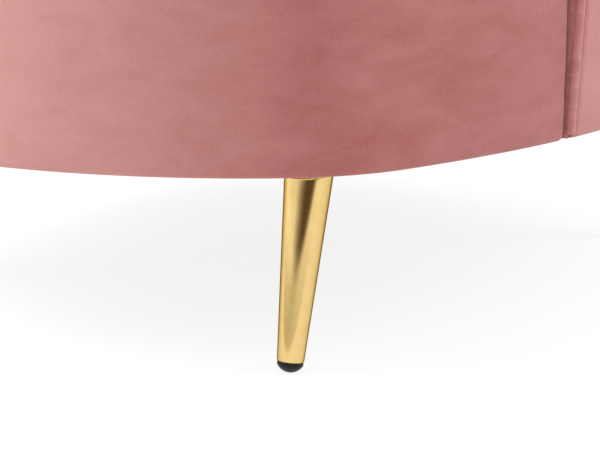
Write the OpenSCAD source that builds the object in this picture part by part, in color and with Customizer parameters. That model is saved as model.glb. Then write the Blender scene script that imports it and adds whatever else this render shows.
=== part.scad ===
// Upholstered tub chair on four raked metal legs, with a loose seat cushion.
// Millimetres. The origin is on the floor under the middle of the chair, +Z is up,
// and the seat faces -Y. Turns are degrees of the outline's outward normal, counted
// from the front of the seat (0) round the right side (90) to the back (180).

/* [Seat plan] */
// Radius of the bowed front of the seat
front_r = 395; // [370:5:420]
// Radius of the front corners
corner_r = 160; // [140:5:180]
// Radius of the nearly straight sides
side_r = 920; // [880:10:960]
// Turn at which the front runs into the corner
front_turn = 38.5; // [36:0.5:41]
// Turn at which the corner runs into the side
corner_turn = 70.5; // [68:0.5:73]
// Turn at which the apron meets the tub
seam_turn = 82; // [80:0.5:84]
// Turn at which the side runs into the rear corner
flank_turn = 97; // [95:0.5:99]
// Radius of the rear corners
rear_corner_r = 170; // [155:5:185]
// Turn at which the rear corner runs into the back
rear_turn = 150; // [147:0.5:153]

/* [Heights] */
// Height of the apron's lower edge above the floor
apron_z = 150; // [130:1:180]
// Height of the apron, from its lower edge to the seat deck
apron_h = 180; // [165:1:210]
// Height of the arms at their front
arm_z = 600; // [570:1:640]
// Height of the back
back_z = 800; // [760:1:860]

/* [Tub wall] */
// Thickness of the padded wall at the seat deck
wall_t = 85; // [80:1:100]
// Thickness of the padded wall at the top of the back
wall_top_t = 66; // [62:1:74]
// Height of the rounded roll along the top of the wall
roll_h = 30; // [26:1:32]
// How far the tub stands proud of the apron at its lower edge
tub_proud = 4; // [3:0.5:7]
// Outward lean of the sides, in degrees
side_rake = 2.3; // [1.7:0.1:3.5]
// Outward lean of the back, in degrees
back_rake = 5.7; // [4:0.1:6.8]
// Turn up to which the tub has the lean of the sides
side_turn = 90; // [86:1:100]
// Turn from which the whole back has its full lean
back_turn = 140; // [130:1:142]
// Belly of the inside padding
belly = 8; // [4:1:10]

/* [Upholstery] */
// Thickness of the velvet with its backing
cover_t = 2; // [1.5:0.25:2.5]
// Thickness of the wadding on the apron
apron_wadding_t = 9; // [6:0.5:12]
// Thickness of the wadding on the outside of the tub
tub_wadding_t = 7; // [5:0.5:9]
// Radius of the thin piping
piping_r = 3.5; // [2.5:0.25:4]
// Radius of the welt round each arm front
welt_r = 4; // [3:0.25:4.5]
// Width of the hem that turns under the frame
hem_w = 34; // [25:1:45]
// Thickness of the dust cover
dust_t = 0.8; // [0.5:0.1:1.2]

/* [Frame] */
// Thickness of the plywood rings, ribs and top rail
ply_t = 18; // [15:1:21]
// Width of the plywood rings
ring_w = 85; // [80:1:95]
// Thickness of the fibreboard
board_t = 3; // [2:0.5:4]
// Depth of the ribs, from outside to inside
rib_w = 30; // [26:1:32]
// Thickness of the post behind each arm front
arm_post_t = 28; // [22:1:32]
// Side of the blocks over the legs
leg_block = 60; // [50:1:64]
// Width of the posts between the rings
post_w = 40; // [30:1:46]

/* [Springs and deck] */
// Number of sinuous springs
spring_count = 5; // [3:1:5]
// Distance between springs
spring_pitch = 92; // [80:1:96]
// Radius of the spring wire
spring_r = 1.9; // [1.5:0.1:2.2]
// Half width of a spring's bends
spring_half_w = 24; // [18:1:28]
// Distance between a spring's cross runs
spring_step = 28; // [24:1:36]
// Radius of the wires that tie the springs together
tie_wire_r = 1.2; // [0.8:0.1:1.6]
// Distance between the two tie wires
tie_apart = 140; // [80:5:200]
// Thickness of the felt over the springs
felt_t = 3; // [2:0.5:4]
// Thickness of the foam on the deck
deck_foam_t = 13; // [10:1:16]

/* [Legs] */
// Radius of a leg at its plate
leg_top_r = 18; // [16:0.5:20]
// Radius of a leg at its foot
leg_foot_r = 10; // [9:0.5:12]
// Wall of the leg's tube
leg_wall = 1.5; // [1:0.1:2]
// Rake of the legs, forward at the front and backward at the rear
leg_rake = 10; // [6:0.5:14]
// Turn of the outline at a front leg
front_leg_turn = 48; // [45:1:52]
// Turn of the outline at a rear leg
rear_leg_turn = 120; // [118:1:124]
// Distance from the apron's face to the middle of a leg's plate
leg_inset = 47; // [45:1:52]
// Radius of a leg's mounting plate
plate_r = 29; // [27:0.5:30]
// Thickness of the mounting plate
plate_t = 3; // [2:0.5:4]
// Radius of the circle of plate screws
screw_circle_r = 23.5; // [23:0.25:24]
// Radius of the screws' shanks
screw_r = 2; // [1.75:0.05:2.5]
// Length of the screws' shanks
screw_len = 18; // [14:1:19]
// Radius of the screws' heads
screw_head_r = 3.6; // [3:0.1:3.8]

/* [Glides] */
// Radius of a glide's dome
dome_r = 11; // [10.5:0.25:12]
// Height of the straight rim above the dome
rim_h = 2.5; // [2:0.25:4]
// Depth of the flat that stands on the floor
contact_flat = 0.4; // [0.2:0.1:0.6]
// Radius of the glide's threaded stud
stud_r = 4; // [3:0.5:5]
// Length of the stud above the glide's rim
stud_len = 20; // [18:1:26]
// Length of the threaded plug in the foot of the tube
plug_len = 14; // [10:1:16]
// Depth to which the stud is set into the glide
stud_seat = 3.6; // [3:0.2:5]
// Running clearance of the stud in its plug
stud_clear = 0.05; // [0.02:0.01:0.1]

/* [Seat cushion] */
// Height of the cushion's boxed side
cushion_h = 100; // [80:1:120]
// Crown of the cushion's top panel
crown = 24; // [12:1:32]
// Distance from the apron's face to the cushion's face
cushion_inset = 6; // [5:1:12]
// Gap between the cushion and the inside of the tub
cushion_gap = 9; // [7.5:0.5:14]
// Gap between the cushion's ears and the arm fronts
ear_gap = 6; // [5:0.5:10]
// Width of the zip's tape
zip_h = 24; // [18:1:30]

/* [Hidden] */

fit = 0.2;        // gap between layers that lie on each other
lay = 0.4;        // gap between the cushion and the deck that it lies on
eps = 1;          // how far a cutter runs past what it cuts
plan_step = 3;    // degrees between points of a flat outline
sweep_step = 6;   // degrees between sections of the tub
roll_step = 22.5; // degrees between points round the roll
tube_sides = 8;   // sides of a swept tube
back_half = 36;   // degrees of the back's padding to each side of its middle
post_turns = [0, 22, 74, 84, 93, 154, 180];    // posts between the rings, on each side
rib_turns = [92, 112, 142, 162, 180];          // ribs of the back, on each side
post_gap = 2.5;   // between an arm post and the front edges of the boards
rib_gap = 1;      // between a rib and the top rail
rail_gap = 4;     // between the top rail and the roll over it
wire_gap = 0.4;   // between a spring's wire and the ring
clip_t = 1.8;     // metal over the wire in a clip
deck_gap = 1;     // between the deck and the inside of the tub
rim_step = 0.3;   // how far a glide's rim stands inside the foot of the tube
facing_t = 7;     // thickness of the padded arm front
piping_out = 0.4; // how far the cushion's piping stands proud of its outline

// Arc of a given length on a given radius, in degrees
function arc(length, radius) = length / radius * 180 / PI;
function dir(turn) = [sin(turn), -cos(turn)];
// Numbers from one end to the other in equal steps no longer than step
function spread(from, to, step) =
    let (n = ceil(abs(to - from) / step)) [for (i = [0:n]) from + (to - from) * i / n];
// Both ends, and the multiples of step between them, so that all outlines share their corners
function stops(from, to, step) =
    concat([from], [for (i = [floor(from / step) + 1:ceil(to / step) - 1]) i * step], [to]);

// Centres of the outline's arcs, measured from the seat's foremost point. The back's
// radius is the one whose middle lies on the chair's middle
front_mid = [0, front_r];
corner_mid = front_mid + (front_r - corner_r) * dir(front_turn);
side_mid = corner_mid + (corner_r - side_r) * dir(corner_turn);
rear_mid = side_mid + (side_r - rear_corner_r) * dir(flank_turn);
back_r = rear_corner_r + rear_mid.x / sin(rear_turn);
back_mid = rear_mid + (rear_corner_r - back_r) * dir(rear_turn);

function smooth(t) = t <= 0 ? 0 : t >= 1 ? 1 : t * t * (3 - 2 * t);
// Smooth rise from 0 to 1 between two turns of the right half, mirrored on the left half
function rise(turn, from, to) = smooth((right_turn(turn) - from) / (to - from));
// Outward lean of the tub, least at the sides and the same all over the back
function flare(turn) = tan(side_rake + (back_rake - side_rake) * rise(turn, side_turn, back_turn));
function proud(turn, z) = tub_proud + (z - apron_z) * flare(turn);
depth = back_mid.y + back_r + proud(180, back_z - roll_h);
to_middle = [0, -depth / 2];
// A middle that every part of the tub's wall faces
tub_c = [0, rear_mid.y] + to_middle;

// Point of the outline at a turn from -180 to 360, set in by inset
function arc_mid(turn) =
    turn < front_turn ? front_mid : turn < corner_turn ? corner_mid
    : turn < flank_turn ? side_mid : turn < rear_turn ? rear_mid : back_mid;
function arc_r(turn) =
    turn < front_turn ? front_r : turn < corner_turn ? corner_r
    : turn < flank_turn ? side_r : turn < rear_turn ? rear_corner_r : back_r;
// The same turn on the right half of the outline
function right_turn(turn) = turn > 180 ? 360 - turn : abs(turn);
function plan(turn, inset) =
    let (t = right_turn(turn), p = to_middle + arc_mid(t) + (arc_r(t) - inset) * dir(t))
    [turn < 0 || turn > 180 ? -p.x : p.x, p.y];
function outline(from, to, inset, step = plan_step) = [for (t = stops(from, to, step)) plan(t, inset)];
function reversed(list) = [for (i = [len(list) - 1:-1:0]) list[i]];

// Levels, from the floor up and from the deck down
hem_t = cover_t * 0.75;
ring_z = apron_z + hem_t + fit;
dust_z = apron_z - fit - dust_t;
plate_z = dust_z - fit - plate_t;
deck_z = apron_z + apron_h;
deck_foam_z = deck_z - cover_t - fit - deck_foam_t;
felt_z = deck_foam_z - fit - felt_t;
clip_h = spring_r * 2 + wire_gap + clip_t;
ring_top_z = felt_z - fit - clip_h;
upper_ring_z = ring_top_z - ply_t;
post_z = ring_z + ply_t;
post_h = upper_ring_z - post_z;
board_in = cover_t + fit + apron_wadding_t + fit;
ring_in = board_in + board_t + fit;
spring_z = ring_top_z + wire_gap + spring_r;

// Insets through the tub's wall, from its outer face
outer_board_in = cover_t + tub_wadding_t + 2 * fit;
rib_in = outer_board_in + board_t + fit;
inner_board_in = rib_in + rib_w + fit;
foam_in = inner_board_in + board_t + fit;
rail_below_top = roll_h + ply_t + rail_gap;
inner_r = side_r - wall_t - belly;
tub_start = seam_turn + arc(welt_r + fit, side_r);
lining_start = seam_turn + arc(welt_r + fit, inner_r);
tub_turns = stops(tub_start, 360 - tub_start, sweep_step);
lining_turns = stops(lining_start, 360 - lining_start, sweep_step);
// The apron and the deck stop short of the welt and the arm fronts
apron_end = seam_turn - arc(welt_r + 2 * fit, side_r);

// Length of the outline from the seam to a turn of the tub
function run(turn) =
    let (t = right_turn(turn))
    (side_r * (min(t, flank_turn) - seam_turn)
        + rear_corner_r * (max(min(t, rear_turn), flank_turn) - flank_turn)
        + back_r * (max(t, rear_turn) - rear_turn)) * PI / 180;
// Height of the top of the wall: level at the arm front and at the back
function top_z(turn) = arm_z + (back_z - arm_z) * smooth(run(turn) / run(180));
function wall(z) = wall_t - (wall_t - wall_top_t) * (z - deck_z) / (back_z - deck_z);
// Inside face of the padding: straight, with a belly between the ring and the roll
function inside(turn, z) =
    let (low = ring_top_z, high = top_z(turn) - roll_h)
    wall(z) + belly * sin(180 * (z - low) / (high - low));
// Section points are [inset from the tub's outer face, z]
function roll_point(turn, angle, e) =
    let (top = top_z(turn), half = wall(top - roll_h) / 2)
    [half - (half - e) * cos(angle), top - roll_h + (roll_h - e) * sin(angle)];
function roll_line(turn, from, to, e) =
    [for (angle = stops(from, to, roll_step)) roll_point(turn, angle, e)];
function inside_line(turn, z, e) =
    let (top = top_z(turn) - roll_h)
    [for (i = [1:4]) let (h = top + (z - top) * i / 4) [inside(turn, h) - e, h]];
// Levels up a straight face, shared by all layers so that their faces stay parallel
function levels(turn, low, high) = concat([low],
    [for (share = low < deck_z - apron_h / 2 ? [0.25, 0.5, 0.75] : [0.45, 0.6, 0.8])
        ring_z + share * (top_z(turn) - roll_h - ring_z)], [high]);
function tub_plan(turn, inset, z) = plan(turn, inset - proud(turn, z));
function tub_point(turn, p) = let (q = tub_plan(turn, p.x, p.y)) [q.x, q.y, p.y];

// Solid whose sections, one list of points each, have the same number of points, with
// those of one side across from those of the other, last to first
module loft(sections) {
    m = len(sections[0]);
    n = len(sections);
    points = [for (s = sections) each s];
    // Every face is split the same way, whichever way its section runs, so that layers nest
    function rank(p) = p.z + norm([p.x, p.y] - tub_c) / 1000;
    sides = [for (i = [0:n - 2]) for (j = [0:m - 1])
        let (a = i * m + j, b = i * m + (j + 1) % m)
            each rank(points[a]) < rank(points[b]) ? [[a, b, b + m], [a, b + m, a + m]]
                : [[a, b, a + m], [b, b + m, a + m]]];
    strip = [for (j = [0:m / 2 - 2]) each [[j, m - 1 - j, j + 1], [j + 1, m - 1 - j, m - 2 - j]]];
    ends = concat(strip, [for (f = strip) [for (k = [2, 1, 0]) (n - 1) * m + f[k]]]);
    polyhedron(points, concat(sides, ends), convexity = 10);
}

// Closed loft, whose last section joins the first
module loop_loft(sections) {
    m = len(sections[0]);
    n = len(sections);
    points = [for (s = sections) each s];
    faces = [for (i = [0:n - 1]) for (j = [0:m - 1])
        let (a = i * m + j, b = i * m + (j + 1) % m, c = ((i + 1) % n) * m)
        each [[a, b, c + (j + 1) % m], [a, c + (j + 1) % m, c + j]]];
    polyhedron(points, faces, convexity = 10);
}

// Ring of points round a path, square to the path between its neighbours
function unit(v) = v / norm(v);
function ring_at(before, here, after, r, up) =
    let (along = unit(after - before), side = unit(cross(along, up)), over = cross(side, along))
    [for (k = [0:tube_sides - 1])
        here + r * (cos(360 * k / tube_sides) * side + sin(360 * k / tube_sides) * over)];
function tube_rings(path, r, up) =
    let (n = len(path))
    [for (i = [0:n - 1]) ring_at(path[max(i - 1, 0)], path[i], path[min(i + 1, n - 1)], r, up)];
function loop_rings(path, r, up) =
    let (n = len(path))
    [for (i = [0:n - 1]) ring_at(path[(i + n - 1) % n], path[i], path[(i + 1) % n], r, up)];

// Part of the tub: profile is a list of section lists, one for each turn
module tub_part(turns, profiles) {
    loft([for (i = [0:len(turns) - 1]) [for (p = profiles[i]) tub_point(turns[i], p)]]);
}

// Flat band along the outline between two insets
module band(from, to, inset_out, inset_in) {
    polygon(concat(outline(from, to, inset_out), reversed(outline(from, to, inset_in))));
}

module on_outline(turn, inset, z) {
    p = plan(turn, inset);
    translate([p.x, p.y, z]) rotate([0, 0, turn - 90]) children();
}

// Inside of the seat: the front outline, then the inside of the tub at height z
function seat_outline(inset, gap, arm_gap, z, step = plan_step) =
    let (end = seam_turn - arc(facing_t / 2 + arm_gap, side_r),
        start = seam_turn - arc(facing_t / 2 + arm_gap, inner_r))
    concat(outline(-end, end, inset, step),
        [for (t = stops(start, 360 - start, sweep_step)) tub_plan(t, inside(t, z) + gap, z)]);

// ---- Legs and feet

// Legs in order: front right, front left, rear right, rear left
leg_turns = [front_leg_turn, -front_leg_turn, rear_leg_turn, -rear_leg_turn];
leg_sides = [-1, -1, 1, 1];
dome_rim_r = leg_foot_r - rim_step;
dome_up = sqrt(dome_r * dome_r - dome_rim_r * dome_rim_r) - rim_h;
// Distances down a leg's axis from the underside of its plate
dome_s = (plate_z - dome_r + contact_flat) / cos(leg_rake);
foot_s = dome_s + dome_up;
bore_r = stud_r + stud_clear;

module at_leg(i) {
    p = plan(leg_turns[i], leg_inset);
    translate([p.x, p.y, plate_z]) children();
}

// Frame of a leg's axis: +Z runs down the leg
module along_leg(i) {
    at_leg(i) rotate([180 + leg_sides[i] * leg_rake, 0, 0]) children();
}

module leg(i) {
    slope = (leg_top_r - leg_foot_r) / foot_s;
    over = leg_top_r;
    color("goldenrod") intersection() {
        along_leg(i) difference() {
            translate([0, 0, -over])
                cylinder(h = foot_s + over, r1 = leg_top_r + slope * over, r2 = leg_foot_r);
            translate([0, 0, -over - eps])
                cylinder(h = foot_s + over + 2 * eps, r1 = leg_top_r + slope * (over + eps) - leg_wall,
                    r2 = leg_foot_r - slope * eps - leg_wall);
        }
        translate([-depth, -depth, 0]) cube([2 * depth, 2 * depth, plate_z]);
    }
}

module plate_screw_places(i) {
    at_leg(i) for (k = [0:3]) rotate([0, 0, 45 + 90 * k]) translate([screw_circle_r, 0, 0]) children();
}

module screw_holes(z, h, clear) {
    for (i = [0:3]) plate_screw_places(i) translate([0, 0, z - plate_z - eps])
        cylinder(h = h + 2 * eps, r = screw_r + clear);
}

module leg_plate(i) {
    color("gold") difference() {
        at_leg(i) cylinder(h = plate_t, r = plate_r);
        screw_holes(plate_z, plate_t, fit);
    }
}

module leg_plate_screws() {
    head_h = screw_r;
    color("silver") for (i = [0:3]) plate_screw_places(i) {
        translate([0, 0, -head_h]) cylinder(h = head_h, r = screw_head_r);
        cylinder(h = screw_len, r = screw_r);
    }
}

module foot_plugs() {
    slope = (leg_top_r - leg_foot_r) / foot_s;
    plug_r = leg_foot_r - leg_wall - fit / 2;
    color("dimgray") for (i = [0:3]) along_leg(i) translate([0, 0, foot_s - plug_len]) difference() {
        cylinder(h = plug_len - fit, r1 = plug_r + slope * plug_len, r2 = plug_r);
        translate([0, 0, -eps]) cylinder(h = plug_len + 2 * eps, r = bore_r);
    }
}

module glide(i) {
    color("#23201f") intersection() {
        along_leg(i) difference() {
            union() {
                translate([0, 0, foot_s + fit]) cylinder(h = rim_h - fit, r = dome_rim_r);
                intersection() {
                    translate([0, 0, dome_s]) sphere(r = dome_r);
                    translate([0, 0, foot_s + rim_h]) cylinder(h = 2 * dome_r, r = 2 * dome_r);
                }
            }
            translate([0, 0, foot_s - eps]) cylinder(h = stud_seat + eps, r = bore_r);
        }
        translate([-depth, -depth, 0]) cube([2 * depth, 2 * depth, plate_z]);
    }
}

module glide_stud(i) {
    color("silver") along_leg(i) translate([0, 0, foot_s - stud_len])
        cylinder(h = stud_len + stud_seat, r = stud_r);
}

// ---- Base frame

module base_ring(z, drilled) {
    color("burlywood") difference() {
        translate([0, 0, z]) linear_extrude(ply_t) difference() {
            polygon(outline(-180, 180, ring_in));
            polygon(outline(-180, 180, ring_in + ring_w));
        }
        if (drilled) screw_holes(z, ply_t, fit / 2);
    }
}

module base_posts() {
    turns = [for (t = post_turns) each t == 0 || t == 180 ? [t] : [t, -t]];
    color("tan") for (t = turns) on_outline(t, ring_in + ring_w / 2, post_z)
        translate([-post_w / 2, -post_w / 2, 0]) cube([post_w, post_w, post_h]);
}

module leg_blocks() {
    // The block's outer corners stay inside the curved board
    bow = pow(leg_block, 2) / 8 / (corner_r - ring_in);
    color("tan") for (t = leg_turns) on_outline(t, ring_in + bow + leg_block / 2, post_z)
        translate([-leg_block / 2, -leg_block / 2, 0]) cube([leg_block, leg_block, post_h]);
}

module apron_layer(inset, t, z, h) {
    translate([0, 0, z]) linear_extrude(h) band(-apron_end, apron_end, inset, inset + t);
}

module apron_board() {
    color("peru") apron_layer(board_in, board_t, ring_z, ring_top_z - ring_z);
}

module apron_wadding() {
    color("white") apron_layer(cover_t + fit, apron_wadding_t, ring_z, deck_z - cover_t - fit - ring_z);
}

module apron_cover() {
    past = arc(eps, corner_r);
    color("#c48480") difference() {
        apron_layer(0, hem_w, apron_z, apron_h);
        // Above the hem only the cover's own thickness is left
        translate([0, 0, apron_z + hem_t]) linear_extrude(apron_h)
            band(-apron_end - past, apron_end + past, cover_t, hem_w + eps);
        screw_holes(apron_z, hem_t, fit);
    }
}

// ---- Springs and deck

// Y of the ring's inner edge in front of and behind a given x
function ring_front_y(x, inset) =
    let (q = corner_mid + to_middle, r = corner_r - inset, f = front_mid + to_middle, s = front_r - inset,
        edge = f.x + s * sin(front_turn))
    abs(x) < edge ? f.y - sqrt(s * s - x * x) : q.y - sqrt(r * r - pow(abs(x) - q.x, 2));
function ring_back_y(x, inset) =
    let (q = rear_mid + to_middle, r = rear_corner_r - inset, b = back_mid + to_middle, s = back_r - inset)
    abs(x) < s * sin(rear_turn) ? b.y + sqrt(s * s - x * x) : q.y + sqrt(r * r - pow(abs(x) - q.x, 2));
spring_xs = [for (i = [0:spring_count - 1]) (i - (spring_count - 1) / 2) * spring_pitch];
clip_size = [16, 14, clip_h];
clip_in = ring_in + ring_w - clip_size.y;

// Cross runs joined by round bends, from the front clip to the rear clip
function spring_path(x) =
    let (from = ring_front_y(x, clip_in), to = ring_back_y(x, clip_in),
        n = 2 * floor((to - from) / spring_step / 2) + 1, step = (to - from) / n, r = step / 2,
        half = spring_half_w - r)
    concat([[x - half, from, spring_z]],
        [for (i = [0:n - 1]) let (s = i % 2 == 0 ? 1 : -1, y = from + step * (i + 0.5))
            for (b = [-90, -45, 0, 45, 90]) [x + s * (half + r * cos(b)), y + r * sin(b), spring_z]],
        [[x - half, to, spring_z]]);

module seat_springs() {
    color("dimgray") for (x = spring_xs) loft(tube_rings(spring_path(x), spring_r, [0, 0, 1]));
}

module spring_clips() {
    color("silver") for (x = spring_xs) for (y = [ring_front_y(x, clip_in), ring_back_y(x, clip_in)])
        translate([x, y, ring_top_z]) difference() {
            translate([-clip_size.x / 2, -clip_size.y / 2, 0]) cube(clip_size);
            translate([-clip_size.x, 0, spring_z - ring_top_z]) rotate([0, 90, 0])
                cylinder(h = 2 * clip_size.x, r = spring_r + fit);
            translate([-clip_size.x, -spring_r - fit, -eps])
                cube([2 * clip_size.x, 2 * (spring_r + fit), eps + spring_z - ring_top_z]);
        }
}

module spring_tie_wires() {
    span = spring_pitch * (spring_count - 1) + 2 * spring_half_w;
    color("gray") for (y = [-tie_apart / 2, tie_apart / 2])
        translate([-span / 2, y, spring_z - spring_r - fit - tie_wire_r])
            rotate([0, 90, 0]) cylinder(h = span, r = tie_wire_r);
}

module deck_layer(inset, z, t) {
    translate([0, 0, z]) linear_extrude(t) polygon(seat_outline(inset, deck_gap, deck_gap, ring_top_z));
}

module insulator_felt() {
    color("lightgray") deck_layer(board_in, felt_z, felt_t);
}

module deck_foam() {
    color("ivory") deck_layer(board_in, deck_foam_z, deck_foam_t);
}

module deck_cover() {
    color("rosybrown") deck_layer(cover_t + fit, deck_z - cover_t, cover_t);
}

// ---- Tub frame

// Upright plate square to the outline at a turn, standing on the upper ring
module rib(turn, t) {
    r = arc_r(right_turn(turn));
    foot = plan(turn, r);
    side = arc(t / 2, r - rib_in - rib_w);
    top = min(top_z(turn - side), top_z(turn + side), top_z(turn)) - rail_below_top - rib_gap;
    low = ring_top_z;
    // Room for the plate's outer corners, and for the lean that changes across its thickness
    corner = t * t / 8 / r + r * (1 - cos(sweep_step / 2)) + fit;
    function twist(z) = abs(proud(turn + side, z) - proud(turn - side, z)) / 2;
    plate = [[rib_in + corner + twist(low), low], [rib_in + corner + twist(top), top],
        [rib_in + rib_w - twist(top), top], [rib_in + rib_w - twist(low), low]];
    translate([foot.x, foot.y, 0]) rotate([90, 0, turn - 90]) translate([0, 0, -t / 2])
        linear_extrude(t) polygon([for (p = plate) [r + proud(turn, p.y) - p.x, p.y]]);
}

arm_post_turn = tub_start + arc(arm_post_t / 2 + post_gap, side_r - rib_in - rib_w);

module arm_post(turn) {
    color("burlywood") rib(turn, arm_post_t);
}

module back_ribs() {
    turns = [for (t = rib_turns) each t == 180 ? [t] : [t, 360 - t]];
    color("burlywood") for (t = turns) rib(t, ply_t);
}

module tub_layer(inset, t, low, below_top) {
    tub_part(tub_turns, [for (a = tub_turns) let (zs = levels(a, low, top_z(a) - below_top))
        concat([for (z = zs) [inset, z]], [for (z = reversed(zs)) [inset + t, z]])]);
}

module top_rail() {
    inner = foam_in - 2 * fit;
    color("burlywood") tub_part(tub_turns, [for (a = tub_turns) let (z = top_z(a) - rail_below_top)
        [[outer_board_in, z], [outer_board_in, z + ply_t], [inner, z + ply_t], [inner, z]]]);
}

module tub_outer_board() {
    color("peru") tub_layer(outer_board_in, board_t, ring_z, rail_below_top + fit);
}

module tub_inner_board() {
    color("peru") tub_layer(inner_board_in, board_t, ring_top_z + fit, rail_below_top + fit);
}

// ---- Tub upholstery

piping_angle = 45;
// Turns at which the padding of the arms meets that of the back
foam_joint = 180 - back_half;
joint_gap = arc(fit / 2, rear_corner_r - wall_t - belly);
// The covers stop this far round the roll from the piping
function piping_room(turn) = arc(piping_r + fit, min(roll_h, wall(top_z(turn)) / 2));

// The padding is in three pieces, one for each arm and one for the back
module inside_foam(from, to) {
    e = cover_t + fit;
    n = 180 / roll_step;
    turns = stops(from, to, sweep_step);
    // Over the roll and down the inside, then up the board and out over the rail
    color("ivory") tub_part(turns, [for (a = turns) let (z = top_z(a) - rail_below_top + ply_t + 2 * fit)
        concat(roll_line(a, 0, 180, e), inside_line(a, ring_top_z + fit, e),
            [for (h = levels(a, ring_top_z + fit, z)) [foam_in, h]],
            [for (i = [n - 1:-1:0]) [e + (foam_in - e) * i / n, z]])]);
}

module inside_back_cover() {
    function face(a, e) =
        concat(roll_line(a, piping_angle + piping_room(a), 180, e), inside_line(a, ring_top_z + fit, e));
    color("#c48480") tub_part(lining_turns,
        [for (a = lining_turns) concat(face(a, 0), reversed(face(a, cover_t)))]);
}

module outside_back_wadding() {
    color("white") tub_layer(cover_t + fit, tub_wadding_t, ring_z, rail_below_top - ply_t + fit);
}

module outside_back_cover() {
    // One face of the cover, at depth e: up the outside, then round the roll to the piping
    function face(a, e) =
        let (roll = roll_line(a, 0, piping_angle - piping_room(a), e))
        concat([for (z = levels(a, ring_z, roll[0].y)) [e, z]], [for (i = [1:len(roll) - 1]) roll[i]]);
    color("#c48480") tub_part(tub_turns,
        [for (a = tub_turns) concat(face(a, 0), reversed(face(a, cover_t)))]);
}

hem_turns = stops(tub_start, 360 - tub_start, plan_step);

module outside_back_hem() {
    color("#c48480") difference() {
        translate([0, 0, apron_z]) linear_extrude(hem_t) polygon(concat(
            [for (a = hem_turns) plan(a, -tub_proud)], [for (a = reversed(hem_turns)) plan(a, hem_w)]));
        screw_holes(apron_z, hem_t, fit);
    }
}

// The welt runs up the outside of an arm front, over it and down its inside
welt_in = welt_r - 1;
function welt_line(turn) = concat(
    [[welt_in, apron_z], [welt_in, (apron_z + deck_z) / 2], [welt_in, deck_z]],
    roll_line(turn, 0, 180, welt_in), inside_line(turn, ring_top_z + fit, welt_in));
facing_in = welt_in + welt_r + fit;
facing_turns = [seam_turn - arc(facing_t / 2, side_r), seam_turn + arc(facing_t / 2 + fit, side_r)];

module arm_welt(turn) {
    path = [for (p = welt_line(turn)) tub_point(turn, p)];
    across = [cos(turn), sin(turn), 0];
    color("#d69a96") loft(tube_rings(path, welt_r, across));
}

module arm_facing() {
    color("#c48480") tub_part(facing_turns, [for (a = facing_turns)
        concat([[facing_in, ring_top_z + fit]], roll_line(seam_turn, 0, 180, facing_in),
            inside_line(seam_turn, ring_top_z + fit, facing_in))]);
}

module top_piping() {
    start = tub_start + arc(piping_r, side_r);
    turns = stops(start, 360 - start, sweep_step);
    path = [for (a = turns) tub_point(a, roll_point(a, piping_angle, cover_t - piping_r - fit))];
    color("#d69a96") loft(tube_rings(path, piping_r, [0, 0, 1]));
}

dust_in = cover_t + board_in;
staple = [1, 10, 0.6];
staple_in = 6;
staple_pitch = 50;
// Half of the outline: where each arc starts and ends, and its radius
arcs = [[0, front_turn, front_r], [front_turn, corner_turn, corner_r], [corner_turn, flank_turn, side_r],
    [flank_turn, rear_turn, rear_corner_r], [rear_turn, 180, back_r]];

module dust_cover() {
    color("#2b2b2b") difference() {
        translate([0, 0, dust_z]) linear_extrude(dust_t) polygon(outline(-180, 180, dust_in));
        screw_holes(dust_z, dust_t, fit);
    }
}

module dust_cover_staples() {
    // None stand over the legs' plates
    clear = arc(plate_r + staple.y, corner_r);
    turns = [for (part = arcs)
        let (span = part[1] - part[0], n = ceil(span / arc(staple_pitch, part[2])))
            for (i = [0.5:n - 0.5]) let (a = part[0] + span * i / n)
                if (min([for (t = leg_turns) abs(a - t)]) > clear) a];
    color("silver") for (a = turns) for (side = [1, -1])
        on_outline(side * a, dust_in + staple_in, dust_z - staple.z)
        translate([-staple.x / 2, -staple.y / 2, 0]) cube(staple);
}

// ---- Seat cushion

cushion_z = deck_z + lay;
seam_z = [cushion_z + piping_r, cushion_z + cushion_h - piping_r];
cushion_step = 6; // degrees between points of the cushion's outline
function cushion_outline(more) =
    seat_outline(cushion_inset + more, cushion_gap + more, ear_gap + more, deck_z, cushion_step);
// Top of the crown, midway between the cushion's front and rear
cushion_c = (plan(0, cushion_inset) + tub_plan(180, inside(180, deck_z) + cushion_gap, deck_z)) / 2;
// Rings of the crown, as shares of the way from its top to the edge
crown_rings = [1, 0.98, 0.9, 0.72, 0.4];

// Solid between two crowned faces over the same outline
module crowned(points, low, high, low_crown, high_crown) {
    n = len(points);
    m = len(crown_rings);
    function ring(u, z) = [for (p = points) let (q = cushion_c + u * (p - cushion_c)) [q.x, q.y, z]];
    function face(z, rise) = concat(
        [for (u = crown_rings) each ring(u, z + rise * (1 - pow(u, 3)))],
        [[cushion_c.x, cushion_c.y, z + rise]]);
    one = m * n + 1;
    all = concat(face(high, high_crown), face(low, low_crown));
    upper = concat(
        [for (i = [0:m - 2]) for (j = [0:n - 1]) let (a = i * n + j, b = i * n + (j + 1) % n)
            each [[a, b + n, b], [a, a + n, b + n]]],
        [for (j = [0:n - 1]) [(m - 1) * n + j, m * n, (m - 1) * n + (j + 1) % n]]);
    lower = [for (f = upper) [f[0] + one, f[2] + one, f[1] + one]];
    rim = [for (j = [0:n - 1]) let (k = (j + 1) % n) each [[j, k, k + one], [j, k + one, j + one]]];
    polyhedron(all, concat(upper, lower, rim), convexity = 4);
}

module cushion_core() {
    color("ivory") crowned(cushion_outline(2 * piping_r + fit), cushion_z + cover_t + fit,
        cushion_z + cushion_h - cover_t - fit, 0, crown);
}

module cushion_top_cover() {
    color("#c48480") crowned(cushion_outline(piping_r * 2), cushion_z + cushion_h - cover_t,
        cushion_z + cushion_h, crown, crown);
}

module cushion_bottom_cover() {
    color("#c48480") translate([0, 0, cushion_z]) linear_extrude(cover_t)
        polygon(cushion_outline(piping_r * 2));
}

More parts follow.
